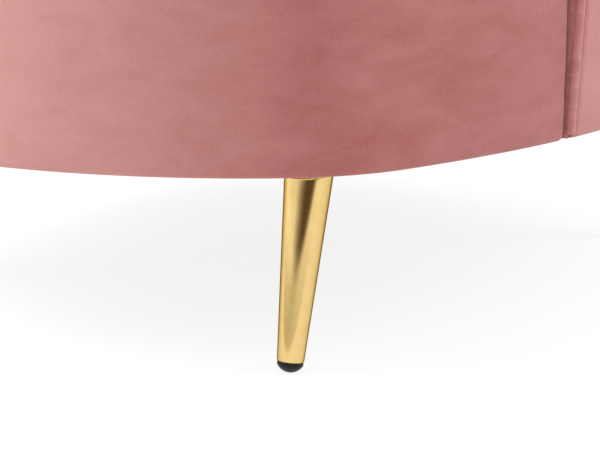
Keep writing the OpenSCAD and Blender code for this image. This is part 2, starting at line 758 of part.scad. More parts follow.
module cushion_boxing() {
    low = cushion_z + 2 * piping_r + fit;
    color("#c48480") translate([0, 0, low]) linear_extrude(cushion_h - 2 * (low - cushion_z)) difference() {
        polygon(cushion_outline(piping_r));
        polygon(cushion_outline(piping_r + cover_t));
    }
}

module cushion_piping(z) {
    path = [for (p = cushion_outline(piping_r - piping_out)) [p.x, p.y, z]];
    color("#d69a96") loop_loft(loop_rings(path, piping_r, [0, 0, 1]));
}

zip_half = 24; // degrees of the zip to each side of the back's middle
zip_turns = spread(180 - zip_half, 180 + zip_half, cushion_step);
zip_mid_z = cushion_z + cushion_h / 2;
zip_tape_t = 1;
slider = [3, 9, 12];
slider_end = 12;  // from the tape's end to the middle of the slider
// Point behind the boxing's rear face
function zip_point(turn, out) = tub_plan(turn, inside(turn, deck_z) + cushion_gap + piping_r - out, deck_z);

module cushion_zip() {
    color("#8f5250") translate([0, 0, zip_mid_z - zip_h / 2]) linear_extrude(zip_h) polygon(concat(
        [for (a = zip_turns) zip_point(a, fit + zip_tape_t)],
        [for (a = reversed(zip_turns)) zip_point(a, fit)]));
}

module zip_slider() {
    a = zip_turns[0] + arc(slider_end, back_r - wall_t);
    p = zip_point(a, 3 * fit + zip_tape_t);
    color("goldenrod") translate([p.x, p.y, zip_mid_z - slider.z / 2]) rotate([0, 0, a - 90])
        translate([0, -slider.y / 2, 0]) cube(slider);
}

leg(1);  // leg_front_left
leg(0);  // leg_front_right
leg(3);  // leg_rear_left
leg(2);  // leg_rear_right
leg_plate(1);  // leg_plate_front_left
leg_plate(0);  // leg_plate_front_right
leg_plate(3);  // leg_plate_rear_left
leg_plate(2);  // leg_plate_rear_right
leg_plate_screws();
foot_plugs();
glide(1);  // glide_front_left
glide(0);  // glide_front_right
glide(3);  // glide_rear_left
glide(2);  // glide_rear_right
glide_stud(1);  // glide_stud_front_left
glide_stud(0);  // glide_stud_front_right
glide_stud(3);  // glide_stud_rear_left
glide_stud(2);  // glide_stud_rear_right
base_ring(ring_z, true);  // base_ring_lower
base_ring(upper_ring_z, false);  // base_ring_upper
base_posts();
leg_blocks();
apron_board();
apron_wadding();
apron_cover();
seat_springs();
spring_clips();
spring_tie_wires();
insulator_felt();
deck_foam();
deck_cover();
arm_post(-arm_post_turn);  // arm_post_left
arm_post(arm_post_turn);  // arm_post_right
back_ribs();
top_rail();
tub_outer_board();
tub_inner_board();
inside_foam(foam_joint + joint_gap, 360 - foam_joint - joint_gap);  // inside_back_foam
inside_foam(360 - foam_joint + joint_gap, 360 - lining_start);  // inside_arm_foam_left
inside_foam(lining_start, foam_joint - joint_gap);  // inside_arm_foam_right
inside_back_cover();
outside_back_wadding();
outside_back_cover();
outside_back_hem();
mirror([1, 0, 0]) arm_facing();  // arm_facing_left
arm_facing();  // arm_facing_right
mirror([1, 0, 0]) arm_welt(seam_turn);  // arm_welt_left
arm_welt(seam_turn);  // arm_welt_right
top_piping();
dust_cover();
dust_cover_staples();
cushion_core();
cushion_top_cover();
cushion_boxing();
cushion_bottom_cover();
cushion_piping(seam_z[1]);  // cushion_piping_upper
cushion_piping(seam_z[0]);  // cushion_piping_lower
cushion_zip();
zip_slider();
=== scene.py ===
# A velvet tub chair on slim brass-plated legs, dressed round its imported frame.
# Metres, +Z up, the seat faces -Y. A turn is a direction seen from above, in degrees:
# 0 is the front, 90 the right side and 180 the back.
import math
import bpy
import numpy as np
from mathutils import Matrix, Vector
from mathutils.kdtree import KDTree


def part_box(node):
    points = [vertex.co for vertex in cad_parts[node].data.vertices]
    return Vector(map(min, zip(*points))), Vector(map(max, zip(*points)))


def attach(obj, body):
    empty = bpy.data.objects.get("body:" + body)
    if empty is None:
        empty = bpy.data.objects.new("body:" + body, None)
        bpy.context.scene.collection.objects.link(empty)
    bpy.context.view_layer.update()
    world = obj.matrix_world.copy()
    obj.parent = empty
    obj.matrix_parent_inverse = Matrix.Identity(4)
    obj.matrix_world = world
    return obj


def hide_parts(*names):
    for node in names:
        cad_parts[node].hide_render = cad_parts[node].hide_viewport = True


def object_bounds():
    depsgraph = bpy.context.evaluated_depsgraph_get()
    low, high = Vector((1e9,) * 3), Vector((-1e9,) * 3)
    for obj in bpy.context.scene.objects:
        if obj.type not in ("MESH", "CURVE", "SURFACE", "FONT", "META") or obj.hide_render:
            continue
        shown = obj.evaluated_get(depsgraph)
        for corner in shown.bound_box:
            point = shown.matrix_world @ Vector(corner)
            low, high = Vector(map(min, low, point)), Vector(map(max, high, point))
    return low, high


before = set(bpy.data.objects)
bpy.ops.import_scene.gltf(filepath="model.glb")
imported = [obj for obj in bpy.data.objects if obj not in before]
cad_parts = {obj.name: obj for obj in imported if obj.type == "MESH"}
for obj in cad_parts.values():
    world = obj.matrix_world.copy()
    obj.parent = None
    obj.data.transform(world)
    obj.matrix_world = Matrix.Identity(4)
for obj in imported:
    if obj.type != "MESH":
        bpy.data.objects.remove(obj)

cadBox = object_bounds()
print("frame: loaded", len(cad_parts), "nodes")

# Plan of the chair: a bowed front, round corners, nearly straight sides, round rear corners and a bowed
# back. Each arc ends at its turn; the apron meets the tub at the seam
plan = dict(frontRadius=0.395, cornerRadius=0.160, sideRadius=0.920, rearRadius=0.170,
            frontTurn=38.5, cornerTurn=70.5, seamTurn=82.0, flankTurn=97.0, rearTurn=150.0)
# Wall of the tub: it leans out, thins upwards, bellies inside and ends in a roll
tub = dict(proud=0.004, sideRake=2.3, backRake=5.7, sideTurn=90.0, backTurn=140.0,
           armHeight=0.600, wall=0.085, wallTop=0.066, roll=0.030, belly=0.008,
           pipingAngle=45.0, panelHalf=36.0)
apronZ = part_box("apron_cover")[0].z
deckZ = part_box("deck_cover")[1].z
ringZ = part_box("base_ring_upper")[1].z
backZ = cadBox[1].z
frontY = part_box("apron_cover")[0].y
pipingRadius = 0.0035
weltRadius = 0.004


def heading(turn):
    # Unit vector of a turn in the plan
    angle = np.radians(turn)
    return np.stack([np.sin(angle), -np.cos(angle)], -1)


def arcTurn(length, radius):
    return math.degrees(length / radius)


frontMid = np.array([0, frontY + plan["frontRadius"]])
cornerMid = frontMid + (plan["frontRadius"] - plan["cornerRadius"]) * heading(plan["frontTurn"])
sideMid = cornerMid + (plan["cornerRadius"] - plan["sideRadius"]) * heading(plan["cornerTurn"])
rearMid = sideMid + (plan["sideRadius"] - plan["rearRadius"]) * heading(plan["flankTurn"])
backRadius = plan["rearRadius"] + rearMid[0] / math.sin(math.radians(plan["rearTurn"]))
backMid = rearMid + (plan["rearRadius"] - backRadius) * heading(plan["rearTurn"])
arcEnds = np.array([plan[key] for key in ("frontTurn", "cornerTurn", "flankTurn", "rearTurn")])
arcMids = np.array([frontMid, cornerMid, sideMid, rearMid, backMid])
arcRadii = np.array([plan[arc + "Radius"] for arc in ("front", "corner", "side", "rear")] + [backRadius])


def rightTurn(turn):
    # The same place on the right half of the chair
    return np.where(turn > 180, 360 - turn, np.abs(turn))


def planPoint(turn, inset):
    # Point of the outline: the middle of the turn's arc plus (radius - inset) times heading
    turn, inset = np.broadcast_arrays(np.asarray(turn, float), inset)
    side = rightTurn(turn)
    arc = np.searchsorted(arcEnds, side, side="right")
    point = arcMids[arc] + (arcRadii[arc] - inset)[..., None] * heading(side)
    mirror = np.where((turn < 0) | (turn > 180), -1.0, 1.0)
    return np.stack([point[..., 0] * mirror, point[..., 1]], -1)


def tubRun(turn):
    # Length of the outline from the seam to a turn of the tub
    ends = np.radians([plan["seamTurn"], plan["flankTurn"], plan["rearTurn"], 180])
    side = np.radians(rightTurn(turn))
    return sum(radius * (np.clip(side, low, high) - low)
               for radius, low, high in zip(arcRadii[2:], ends[:-1], ends[1:]))


def smoothStep(t):
    t = np.clip(t, 0, 1)
    return t * t * (3 - 2 * t)


def risen(turn, start, end):
    # 0 up to one turn, 1 from another, alike on both halves of the chair
    return smoothStep((rightTurn(turn) - start) / (end - start))


def topZ(turn):
    # The wall rises smoothly from the arm front to the middle of the back
    return tub["armHeight"] + (backZ - tub["armHeight"]) * smoothStep(tubRun(turn) / tubRun(180.0))


def wallAt(z):
    return tub["wall"] - (tub["wall"] - tub["wallTop"]) * (z - deckZ) / (backZ - deckZ)


def insideAt(turn, z):
    # Inset of the padding's inner face: the wall plus a belly between the ring and the roll
    share = (z - ringZ) / (topZ(turn) - tub["roll"] - ringZ)
    return wallAt(z) + tub["belly"] * np.sin(np.pi * np.clip(share, 0, 1))


def rollAt(turn, angle, depth):
    # Half ellipse over the wall: inset and height at an angle from the outside, sunk by a depth
    base = topZ(turn) - tub["roll"]
    half = wallAt(base) / 2
    a = np.radians(angle)
    return half - (half - depth) * np.cos(a), base + (tub["roll"] - depth) * np.sin(a)


def tubPoint(turn, inset, z):
    # Point of the tub: the outline moved out by the lean at height z and in by the inset
    turn, inset, z = np.broadcast_arrays(np.asarray(turn, float), inset, z)
    toBack = risen(turn, tub["sideTurn"], tub["backTurn"])
    rake = tub["sideRake"] + (tub["backRake"] - tub["sideRake"]) * toBack
    lean = tub["proud"] + (z - apronZ) * np.tan(np.radians(rake))
    return np.concatenate([planPoint(turn, inset - lean), z[..., None]], -1)


def softNoise(points, size, seed):
    # Smooth random heights from -1 to 1: values on a cubic lattice, blended between its corners
    cell = np.asarray(points) / size
    corner = np.floor(cell).astype(np.int64)
    share = cell - corner
    share = share * share * (3 - 2 * share)
    total = np.zeros(cell.shape[:-1])
    for dx in (0, 1):
        for dy in (0, 1):
            for dz in (0, 1):
                step = np.array([dx, dy, dz])
                key = (corner + step) * np.array([73856093, 19349663, 83492791])
                key = key[..., 0] ^ key[..., 1] ^ key[..., 2] ^ (seed * 40503)
                key = ((key ^ (key >> 13)) * 1274126177) & 0x7FFFFFFF
                height = ((key ^ (key >> 15)) & 0xFFFF) / 32767.5 - 1
                total += height * np.prod(np.where(step == 1, share, 1 - share), -1)
    return total


def tuck(distance, width, depth):
    # Cloth rolling into a seam: a quarter ellipse, deep at the seam and level at the width
    t = np.clip(1 - distance / width, 0, 1)
    return depth * (1 - np.sqrt(1 - t * t))


def spaced(length, step, fine=0.0006, reach=0.010):
    # Distances from 0 to a length in even steps, closer together within reach of both ends
    ends = np.concatenate([np.arange(0, reach / 2, fine), np.arange(reach / 2, reach, 2 * fine)])
    middle = np.linspace(reach, length - reach, max(2, int(round((length - 2 * reach) / step)) + 1))
    return np.concatenate([ends, middle, length - ends[::-1]])


def runAlong(line):
    # Distance along a line of points to each of them
    return np.concatenate([[0], np.cumsum(np.linalg.norm(np.diff(line, axis=0), axis=1))])


def outlineRun(start, end, inset):
    # Closely spaced turns of the outline, with the distance along it to each
    turns = np.linspace(start, end, 4001)
    return turns, runAlong(planPoint(turns, inset))


def evenTurns(start, end, step, inset=0.0):
    # Turns spaced evenly along the outline at an inset, with their distances from the start
    dense, run = outlineRun(start, end, inset)
    along = spaced(run[-1], step)
    return np.interp(along, run, dense), along, run[-1]


def gridFaces(rows, cols, wrapRows=False, wrapCols=False):
    # Quads of a grid of points that is stored row by row
    r, c = np.meshgrid(np.arange(rows - (not wrapRows)), np.arange(cols - (not wrapCols)), indexing="ij")
    below, beside = (r + 1) % rows, (c + 1) % cols
    corners = [r * cols + c, r * cols + beside, below * cols + beside, below * cols + c]
    return np.stack(corners, -1).reshape(-1, 4).tolist()


def tubeFaces(rings, sides):
    # Quads round a tube made of rings, and a face over each end
    ends = [list(range(sides))[::-1], [(rings - 1) * sides + i for i in range(sides)]]
    return gridFaces(rings, sides, False, True) + ends


def makePiece(name, points, faces, material, smooth=True):
    mesh = bpy.data.meshes.new(name)
    mesh.from_pydata(np.asarray(points, float).reshape(-1, 3).tolist(), [], faces)
    mesh.update()
    mesh.polygons.foreach_set("use_smooth", [smooth] * len(mesh.polygons))
    mesh.materials.append(material)
    piece = bpy.data.objects.new(name, mesh)
    bpy.context.scene.collection.objects.link(piece)
    return piece


def thicken(piece, thickness):
    # Closes a sheet to a shell that grows away from the side its faces look to
    shell = piece.modifiers.new("thickness", "SOLIDIFY")
    shell.thickness, shell.offset = thickness, -1


def makeSheet(name, grid, material, thickness, flip=False):
    # Cloth on a grid of points that looks outwards. A grid mirrored to the left half needs its faces flipped
    faces = gridFaces(*grid.shape[:2])
    piece = makePiece(name, grid, faces if flip else [f[::-1] for f in faces], material)
    thicken(piece, thickness)
    return piece


def sweep(path, radii, across, sides, closed=False):
    # Rings round a path: path + radius * (cos a * first + sin a * second), both square to the path.
    # Every ring starts square to the direction across, so that none is twisted against the next
    ahead = np.roll(path, -1, 0) if closed else np.concatenate([path[1:], path[-1:]])
    behind = np.roll(path, 1, 0) if closed else np.concatenate([path[:1], path[:-1]])
    along = ahead - behind
    along /= np.linalg.norm(along, axis=1, keepdims=True)
    first = np.cross(along, np.broadcast_to(across, path.shape))
    first /= np.linalg.norm(first, axis=1, keepdims=True)
    second = np.cross(first, along)
    angle = np.linspace(0, 2 * np.pi, sides, endpoint=False)
    ring = np.cos(angle)[None, :, None] * first[:, None] + np.sin(angle)[None, :, None] * second[:, None]
    return path[:, None] + np.broadcast_to(radii, path.shape[:1] + (sides,))[..., None] * ring


def makeCord(name, path, radius, across, material, closed=False, sides=20, seed=1):
    # Piping: a round cord in cloth, its radius wavering a little, with a flat face over each open end
    waver = 1 + 0.035 * softNoise(path, 0.011, seed) + 0.02 * softNoise(path, 0.004, seed + 1)
    rings = sweep(path, (radius * waver)[:, None], across, sides, closed)
    faces = gridFaces(len(path), sides, True, True) if closed else tubeFaces(len(path), sides)
    return makePiece(name, rings, [f[::-1] for f in faces], material)


# Materials

def colour(code):
    # sRGB hex to linear
    parts = [int(code[i:i + 2], 16) / 255 for i in (0, 2, 4)]
    return [c / 12.92 if c <= 0.04045 else ((c + 0.055) / 1.055) ** 2.4 for c in parts] + [1]


def setStops(points, stops):
    # Colour stops of a ramp: pairs of position and sRGB hex
    while len(points) < len(stops):
        points.new(0.5)
    for point, (position, code) in zip(points, stops):
        point.position, point.color = position, colour(code)


def addNode(tree, kind, settings=None, links=None):
    # A node with its properties, colour stops or input values by name, and its inputs linked from sockets
    node = tree.nodes.new("ShaderNode" + kind)
    for key, value in (settings or {}).items():
        if key == "stops":
            setStops(node.color_ramp.elements, value)
        elif isinstance(key, str) and hasattr(node, key):
            setattr(node, key, value)
        else:
            node.inputs[key].default_value = value
    for key, socket in (links or {}).items():
        tree.links.new(socket, node.inputs[key])
    return node


def newMaterial(name, **shader):
    # A Principled material with its constants set; returns it with its tree, shader and coordinates
    material = bpy.data.materials.new(name)
    material.use_nodes = True
    tree = material.node_tree
    principled = tree.nodes["Principled BSDF"]
    for key, value in shader.items():
        principled.inputs[key.replace("_", " ")].default_value = value
    place = addNode(tree, "TexCoord").outputs["Object"]
    return material, tree, principled, place


# Velvet's pile in metres, its share of the shade, and how far behind the chair's very front the velvet is
# painted paler: painted light
pile = dict(size=0.0016, height=0.0006, share=0.30, paintedFrom=0.088, paintedTo=0.004)


def makeVelvet(name, shades, patch=0.050, bump=0.30, sheen=0.9, painted=0.4):
    # Cotton velvet: short upright pile. It gives a soft pale bloom where it is lit or seen at a low angle,
    # broad cloudy patches where the pile has been brushed, no sharp highlight, and a painted paler shade at
    # the chair's very front
    material, tree, principled, place = newMaterial(
        name, Roughness=0.88, Sheen_Weight=sheen, Sheen_Roughness=0.42, Sheen_Tint=colour("f7d9d6"),
        Specular_IOR_Level=0.10)
    flattened = addNode(tree, "Mapping", {"Scale": (1, 1, 2.2)}, {"Vector": place}).outputs["Vector"]
    stroke = {"Scale": 1 / patch, "Detail": 5.0, "Roughness": 0.56, "Distortion": 0.5}
    clouds = addNode(tree, "TexNoise", stroke, {"Vector": flattened}).outputs["Fac"]
    # Pile 1.6 mm coarse, coarser than real pile so that it shows
    tips = addNode(tree, "TexNoise", {"Scale": 1 / pile["size"], "Detail": 2.0}, {"Vector": place})
    tips = tips.outputs["Fac"]
    both = addNode(tree, "Mix", {"Factor": pile["share"]}, {"A": clouds, "B": tips}).outputs["Result"]
    # Painted light: within reach of the chair's very front the velvet is painted paler, as if the key light
    # fell there
    depth = addNode(tree, "SeparateXYZ", links={"Vector": place}).outputs["Y"]
    reach = {"From Min": frontY + pile["paintedFrom"], "From Max": frontY + pile["paintedTo"]}
    front = addNode(tree, "MapRange", reach, {"Value": depth}).outputs["Result"]
    napAndPaintedLight = addNode(tree, "Mix", {"Factor": painted}, {"A": both, "B": front}).outputs["Result"]
    # The top stop is reached only at the very front: it is the painted lighter shade there
    shade = addNode(tree, "ValToRGB", {"stops": list(zip((0.19, 0.30, 0.41, 0.70), shades))}, {"Fac": napAndPaintedLight})
    tree.links.new(shade.outputs["Color"], principled.inputs["Base Color"])
    raised = addNode(tree, "Bump", {"Strength": bump, "Distance": pile["height"]}, {"Height": tips})
    tree.links.new(raised.outputs["Normal"], principled.inputs["Normal"])
    return material


# Apron, inside, arm fronts and cushion; the outside, a copy of the velvet painted paler, as painted light;
# and the piping, whose cloth is turned so often that its patches are small, also painted paler, as a painted
# highlight
velvet = makeVelvet("cotton velvet, old rose", ("ac6763", "b5736f", "bd7d78", "cb938e"), sheen=0.75)
velvetPaintedPaler = makeVelvet("cotton velvet, old rose, painted paler", ("c5857f", "ca8c88", "cf9390", "cf9390"),
                        patch=0.075, sheen=0.75)
# Painted highlight: the piping's shades are painted paler than the apron's, so that its cords catch light
trimVelvetPaintedPaler = makeVelvet("cotton velvet on piping cord, old rose, painted paler", ("bd7975", "cb8985", "d89894", "dfa9a5"),
                        patch=0.018, sheen=1.0)


def makeMetal(name, base, roughness, grain, depth, **shader):
    # Plated or drawn steel: the reflections carry the look, broken a little by the grain of the surface
    material, tree, principled, place = newMaterial(name, Metallic=1.0, **shader)
    marks = addNode(tree, "TexNoise", {"Scale": 1 / grain, "Detail": 5.0, "Roughness": 0.6},
                    {"Vector": place}).outputs["Fac"]
    shade = addNode(tree, "ValToRGB", {"stops": [(0.3, base[0]), (0.7, base[1])]}, {"Fac": marks})
    tree.links.new(shade.outputs["Color"], principled.inputs["Base Color"])
    spread = addNode(tree, "MapRange", {"To Min": roughness[0], "To Max": roughness[1]}, {"Value": marks})
    tree.links.new(spread.outputs["Result"], principled.inputs["Roughness"])
    raised = addNode(tree, "Bump", {"Strength": 0.1, "Distance": depth}, {"Height": marks})
    tree.links.new(raised.outputs["Normal"], principled.inputs["Normal"])
    return material


# Polished brass plate: near mirror, warm, and brown where it is seen at a low angle
brass = makeMetal("brass-plated steel tube, polished", ("e6c480", "edce8c"), (0.08, 0.14), 0.012, 0.0001,
                  Specular_Tint=colour("5e3d16"))
# The same plate on pressed steel, left unpolished: a duller, softer reflection
plated = makeMetal("brass-plated pressed steel", ("c09c58", "cfae6b"), (0.24, 0.34), 0.006, 0.0003)
# Zinc: cool light grey, satin, slightly mottled
zinc = makeMetal("bright zinc plate", ("a9abae", "c3c5c8"), (0.25, 0.40), 0.004, 0.0002)
# Drawn wire under oil: dark grey with a soft line of light
springSteel = makeMetal("oiled spring steel wire", ("3c3e42", "55585c"), (0.30, 0.45), 0.006, 0.0002)
# Cast and barrel-polished: small yellow glints with soft edges
zipMetal = makeMetal("die-cast zip metal, brass finish", ("b08a43", "caa45a"), (0.22, 0.32), 0.003, 0.0002)


def makePlain(name, stops, size, roughness, bump, depth, detail=3.0, stretch=(1, 1, 1), **shader):
    # Colour and height from one noise at a real size, stretched along the grain where it has one
    material, tree, principled, place = newMaterial(name, Roughness=roughness, **shader)
    grain = addNode(tree, "Mapping", {"Scale": stretch}, {"Vector": place}).outputs["Vector"]
    noise = addNode(tree, "TexNoise", {"Scale": 1 / size, "Detail": detail, "Roughness": 0.6},
                    {"Vector": grain}).outputs["Fac"]
    shade = addNode(tree, "ValToRGB", {"stops": stops}, {"Fac": noise})
    tree.links.new(shade.outputs["Color"], principled.inputs["Base Color"])
    raised = addNode(tree, "Bump", {"Strength": bump, "Distance": depth}, {"Height": noise})
    tree.links.new(raised.outputs["Normal"], principled.inputs["Normal"])
    return material


# Moulded polyethylene glide: near black, satin, with a fine moulded grain
glideBlack = makePlain("moulded polyethylene, black", [(0.3, "111011"), (0.7, "191819")], 0.0012, 0.42, 0.12,
                       0.0002, Specular_IOR_Level=0.25)
# Poplar plywood, cut edges with thin layers; grain 6 mm across, drawn out along X and thin in Z
plywood = makePlain("poplar plywood, sawn", [(0.25, "a98355"), (0.5, "cbab7b"), (0.8, "dcc296")],
                    0.006, 0.75, 0.3, 0.0004, stretch=(0.12, 1, 6))
# Pine, straight from the saw: matt, warm, grain drawn out along Z
softwood = makePlain("pine block, sawn", [(0.3, "b98f5d"), (0.6, "d7b988")], 0.005, 0.78, 0.3, 0.0004,
                     stretch=(1, 1, 0.1))
# Hardboard: flat brown with a fine pressed fibre
fibreboard = makePlain("hardboard, pressed", [(0.3, "6f4a2c"), (0.7, "8a6040")], 0.002, 0.7, 0.25, 0.0002)
# Fleece: off-white, soft and open, so that it never shines
wadding = makePlain("polyester wadding, fleece", [(0.3, "e4e1d9"), (0.7, "f5f3ee")], 0.004, 0.95, 0.8, 0.001,
                    detail=6.0, Sheen_Weight=0.3)
# Needled from mixed waste fibre: flecked grey, matt
felt = makePlain("insulator felt, needled", [(0.3, "8b8884"), (0.7, "aeaca7")], 0.002, 0.95, 0.6, 0.0006,
                 detail=6.0)
# Slabstock foam: yellowed by light, with open cells 1.5 mm wide
foam = makePlain("upholstery foam, open cell", [(0.35, "d9c48c"), (0.65, "ecdcb0")], 0.0015, 0.9, 0.8, 0.0006)


def makeWeave(name, shades, thread, roughness, angle=0.0):
    # Plain weave: two crossed waves one thread wide, each rising where the other dips
    material, tree, principled, place = newMaterial(name, Roughness=roughness, Specular_IOR_Level=0.2,
                                                    Sheen_Weight=0.15)
    turned = addNode(tree, "Mapping", {"Rotation": (0, 0, angle)}, {"Vector": place}).outputs["Vector"]
    # A wave texture of scale 1 repeats every 0.314 m
    waves = []
    for axis in "XY":
        wave = {"Scale": 0.314 / thread, "Distortion": 0.6, "Detail": 2.0, "bands_direction": axis}
        waves.append(addNode(tree, "TexWave", wave, {"Vector": turned}).outputs["Fac"])
    cross = addNode(tree, "Math", {"operation": "MULTIPLY"}, {0: waves[0], 1: waves[1]}).outputs["Value"]
    shade = addNode(tree, "ValToRGB", {"stops": [(0.05, shades[0]), (0.6, shades[1])]}, {"Fac": cross})
    tree.links.new(shade.outputs["Color"], principled.inputs["Base Color"])
    raised = addNode(tree, "Bump", {"Strength": 0.35, "Distance": thread / 3}, {"Height": cross})
    tree.links.new(raised.outputs["Normal"], principled.inputs["Normal"])
    return material


# Threads 1.4 mm, 0.9 mm and 2.2 mm wide, wider than real ones so that the weave shows: a flat matt cloth
# under the cushion, a ribbed tape, and a dull black cloth laid askew
deckCloth = makeWeave("cotton deck cloth, plain weave", ("8f5f5b", "b9847f"), 0.0014, 0.9)
zipTape = makeWeave("polyester zip tape, woven", ("7d4a47", "9d6764"), 0.0009, 0.85)
cambric = makeWeave("spun-bonded cambric, black", ("141416", "2b2b2f"), 0.0022, 0.95, angle=0.6)
print("materials: made", len(bpy.data.materials))

# What each node of the frame is made of, by the start of its name: the longest that fits
finishes = {"base_ring": plywood, "back_ribs": plywood, "top_rail": plywood, "arm_post": plywood,
            "base_posts": softwood, "leg_blocks": softwood, "apron_board": fibreboard,
            "tub_outer_board": fibreboard, "tub_inner_board": fibreboard, "apron_wadding": wadding,
            "outside_back_wadding": wadding, "insulator_felt": felt, "deck_foam": foam,
            "inside_back_foam": foam, "inside_arm_foam": foam, "cushion_core": foam,
            "seat_springs": springSteel, "spring_tie_wires": springSteel,
            "spring_clips": zinc, "leg_plate_screws": plated,
            "dust_cover_staples": zinc, "glide_stud": zinc, "foot_plugs": zinc, "leg_plate": plated}
for node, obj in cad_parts.items():
    match = [key for key in finishes if node.startswith(key)]
    if match:
        finish = finishes[max(match, key=len)]
        for place in obj.material_slots:
            place.material = finish


# Apron: velvet over wadding, from the hem under the frame, up the face and over the deck's edge
apron = dict(step=0.0035, seamGap=0.0004, thickness=0.0016, proud=0.0010,
             hem=0.034, bottomRound=0.004, topRound=0.011, lip=0.016, bulge=0.0028, fullFrom=0.030,
             dent=0.0007, dentSize=0.085, pucker=0.0005, puckerSize=0.016, puckerReach=0.018,
             tuckWidth=0.008, tuckDepth=0.007, turns=5, turnedIn=0.0028, leanBack=0.0004, shorter=0.02,
             fleece=0.005, under=0.0004)


def makeApron():
    # Outline point of a turn and an inset. The inset and the height follow the section: hem, round foot,
    # face, round head and lip; the face bulges by sin(pi * share of the height) ^ 0.7
    end = plan["seamTurn"] - arcTurn(weltRadius + apron["seamGap"], plan["sideRadius"])
    turns, along, length = evenTurns(-end, end, apron["step"])
    low, high = apronZ - apron["proud"], deckZ
    rb, rt = apron["bottomRound"], apron["topRound"]
    hem = np.linspace(apron["hem"], rb, 8)[:-1]
    foot = np.radians(np.linspace(0, 90, 9))
    face = np.linspace(low + rb, high - rt, 52)[1:-1]
    head = np.radians(np.linspace(0, 90, 13))
    lip = np.linspace(rt, apron["lip"], 4)[1:]
    inset = np.concatenate([hem, rb - rb * np.sin(foot), 0 * face, rt - rt * np.cos(head), lip])
    z = np.concatenate([low + 0 * hem, low + rb - rb * np.cos(foot), face,
                        high - rt + rt * np.sin(head), high + 0 * lip])
    turn, inset = np.meshgrid(turns, inset, indexing="ij")
    z = np.broadcast_to(z, turn.shape)
    share = np.clip((z - low) / (high - low), 0, 1)
    # 0 at the foot and the head, 1 on the face between them
    onFace = np.clip((share - 0.01) / 0.04, 0, 1) * np.clip((0.99 - share) / 0.06, 0, 1)
    # The wadding fills the face, and the cloth rolls in to the seams at both ends
    toEnd = np.minimum(along, length - along)[:, None]
    full = 1 - np.exp(-toEnd / apron["fullFrom"])
    shaped = inset - apron["proud"] - apron["bulge"] * np.sin(np.pi * share) ** 0.7 * full
    flat = np.concatenate([planPoint(turn, inset), z[..., None]], -1)
    shaped = shaped - apron["dent"] * softNoise(flat, apron["dentSize"], 3) * onFace
    pulled = softNoise(flat, apron["puckerSize"], 5) * np.exp(-toEnd / apron["puckerReach"]) * onFace
    shaped = shaped + apron["pucker"] * pulled + tuck(toEnd, apron["tuckWidth"], apron["tuckDepth"])
    # Both ends are turned in at the seams, each row a little deeper, further back and shorter than the last
    step = np.arange(apron["turns"], 0, -1)[:, None]
    inward, back = step * apron["turnedIn"], step * arcTurn(apron["leanBack"], plan["sideRadius"])
    level = (low + high) / 2
    short = level + (z[:1] - level) * (1 - step * apron["shorter"])
    turn = np.concatenate([turn[:1] + back, turn, turn[-1:] - back[::-1]])
    shaped = np.concatenate([shaped[:1] + inward, shaped, shaped[-1:] + inward[::-1]])
    z = np.concatenate([short, z, short[::-1]])
    grid = np.concatenate([planPoint(turn, shaped), z[..., None]], -1)
    piece = makeSheet("apron_velvet", grid, velvet, apron["thickness"])
    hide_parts("apron_cover")
    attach(piece, "chair")
    # Fleece on the board, right behind the velvet of the face, its ends drawn in at the seams with the velvet
    face = slice(len(hem) + len(foot), -len(lip))
    rows = slice(len(inward) + 2, -len(inward) - 2)
    under = shaped[rows, face] + apron["thickness"] + apron["under"]
    fleece = np.concatenate([planPoint(turn[rows, face], under), z[rows, face, None]], -1)
    fleece = makeSheet("apron_fleece", fleece,
                       wadding, apron["fleece"])
    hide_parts("apron_wadding")
    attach(fleece, "chair")


makeApron()
print("apron: made")

# Legs: a tapered tube cut level at its plate, with a rolled lip at the foot, and a domed glide
leg = dict(rake=10.0, topRadius=0.018, footRadius=0.010, lip=0.0009, sides=72)
glide = dict(domeRadius=0.011, rimRadius=0.0097, rimHeight=0.0025, edge=0.0006, flat=0.0004, gap=0.0002,
             sides=64)
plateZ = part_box("leg_plate_front_right")[0].z
axisTilt = math.radians(leg["rake"])
domeUp = math.sqrt(glide["domeRadius"] ** 2 - glide["rimRadius"] ** 2) - glide["rimHeight"]
domeRun = (plateZ - glide["domeRadius"] + glide["flat"]) / math.cos(axisTilt)
footRun = domeRun + domeUp


def legFrame(corner):
    # Middle of the plate's underside, the axis down the leg, and two directions square to it
    low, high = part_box("leg_plate_" + corner)
    top = np.array([(low.x + high.x) / 2, (low.y + high.y) / 2, plateZ])
    side = -1 if corner.startswith("front") else 1
    axis = np.array([0, side * math.sin(axisTilt), -math.cos(axisTilt)])
    return top, axis, np.array([1.0, 0, 0]), np.cross(axis, [1.0, 0, 0])


def spin(corner, runs, radii, sides):
    # Profile spun round the leg's axis: top + run * axis + radius * (cos a * u + sin a * v)
    top, axis, u, v = legFrame(corner)
    angle = np.linspace(0, 2 * np.pi, sides, endpoint=False)
    ring = np.cos(angle)[:, None] * u + np.sin(angle)[:, None] * v
    runs, radii = np.broadcast_arrays(runs, radii)
    return top + runs[..., None] * axis + radii[..., None] * ring[None]


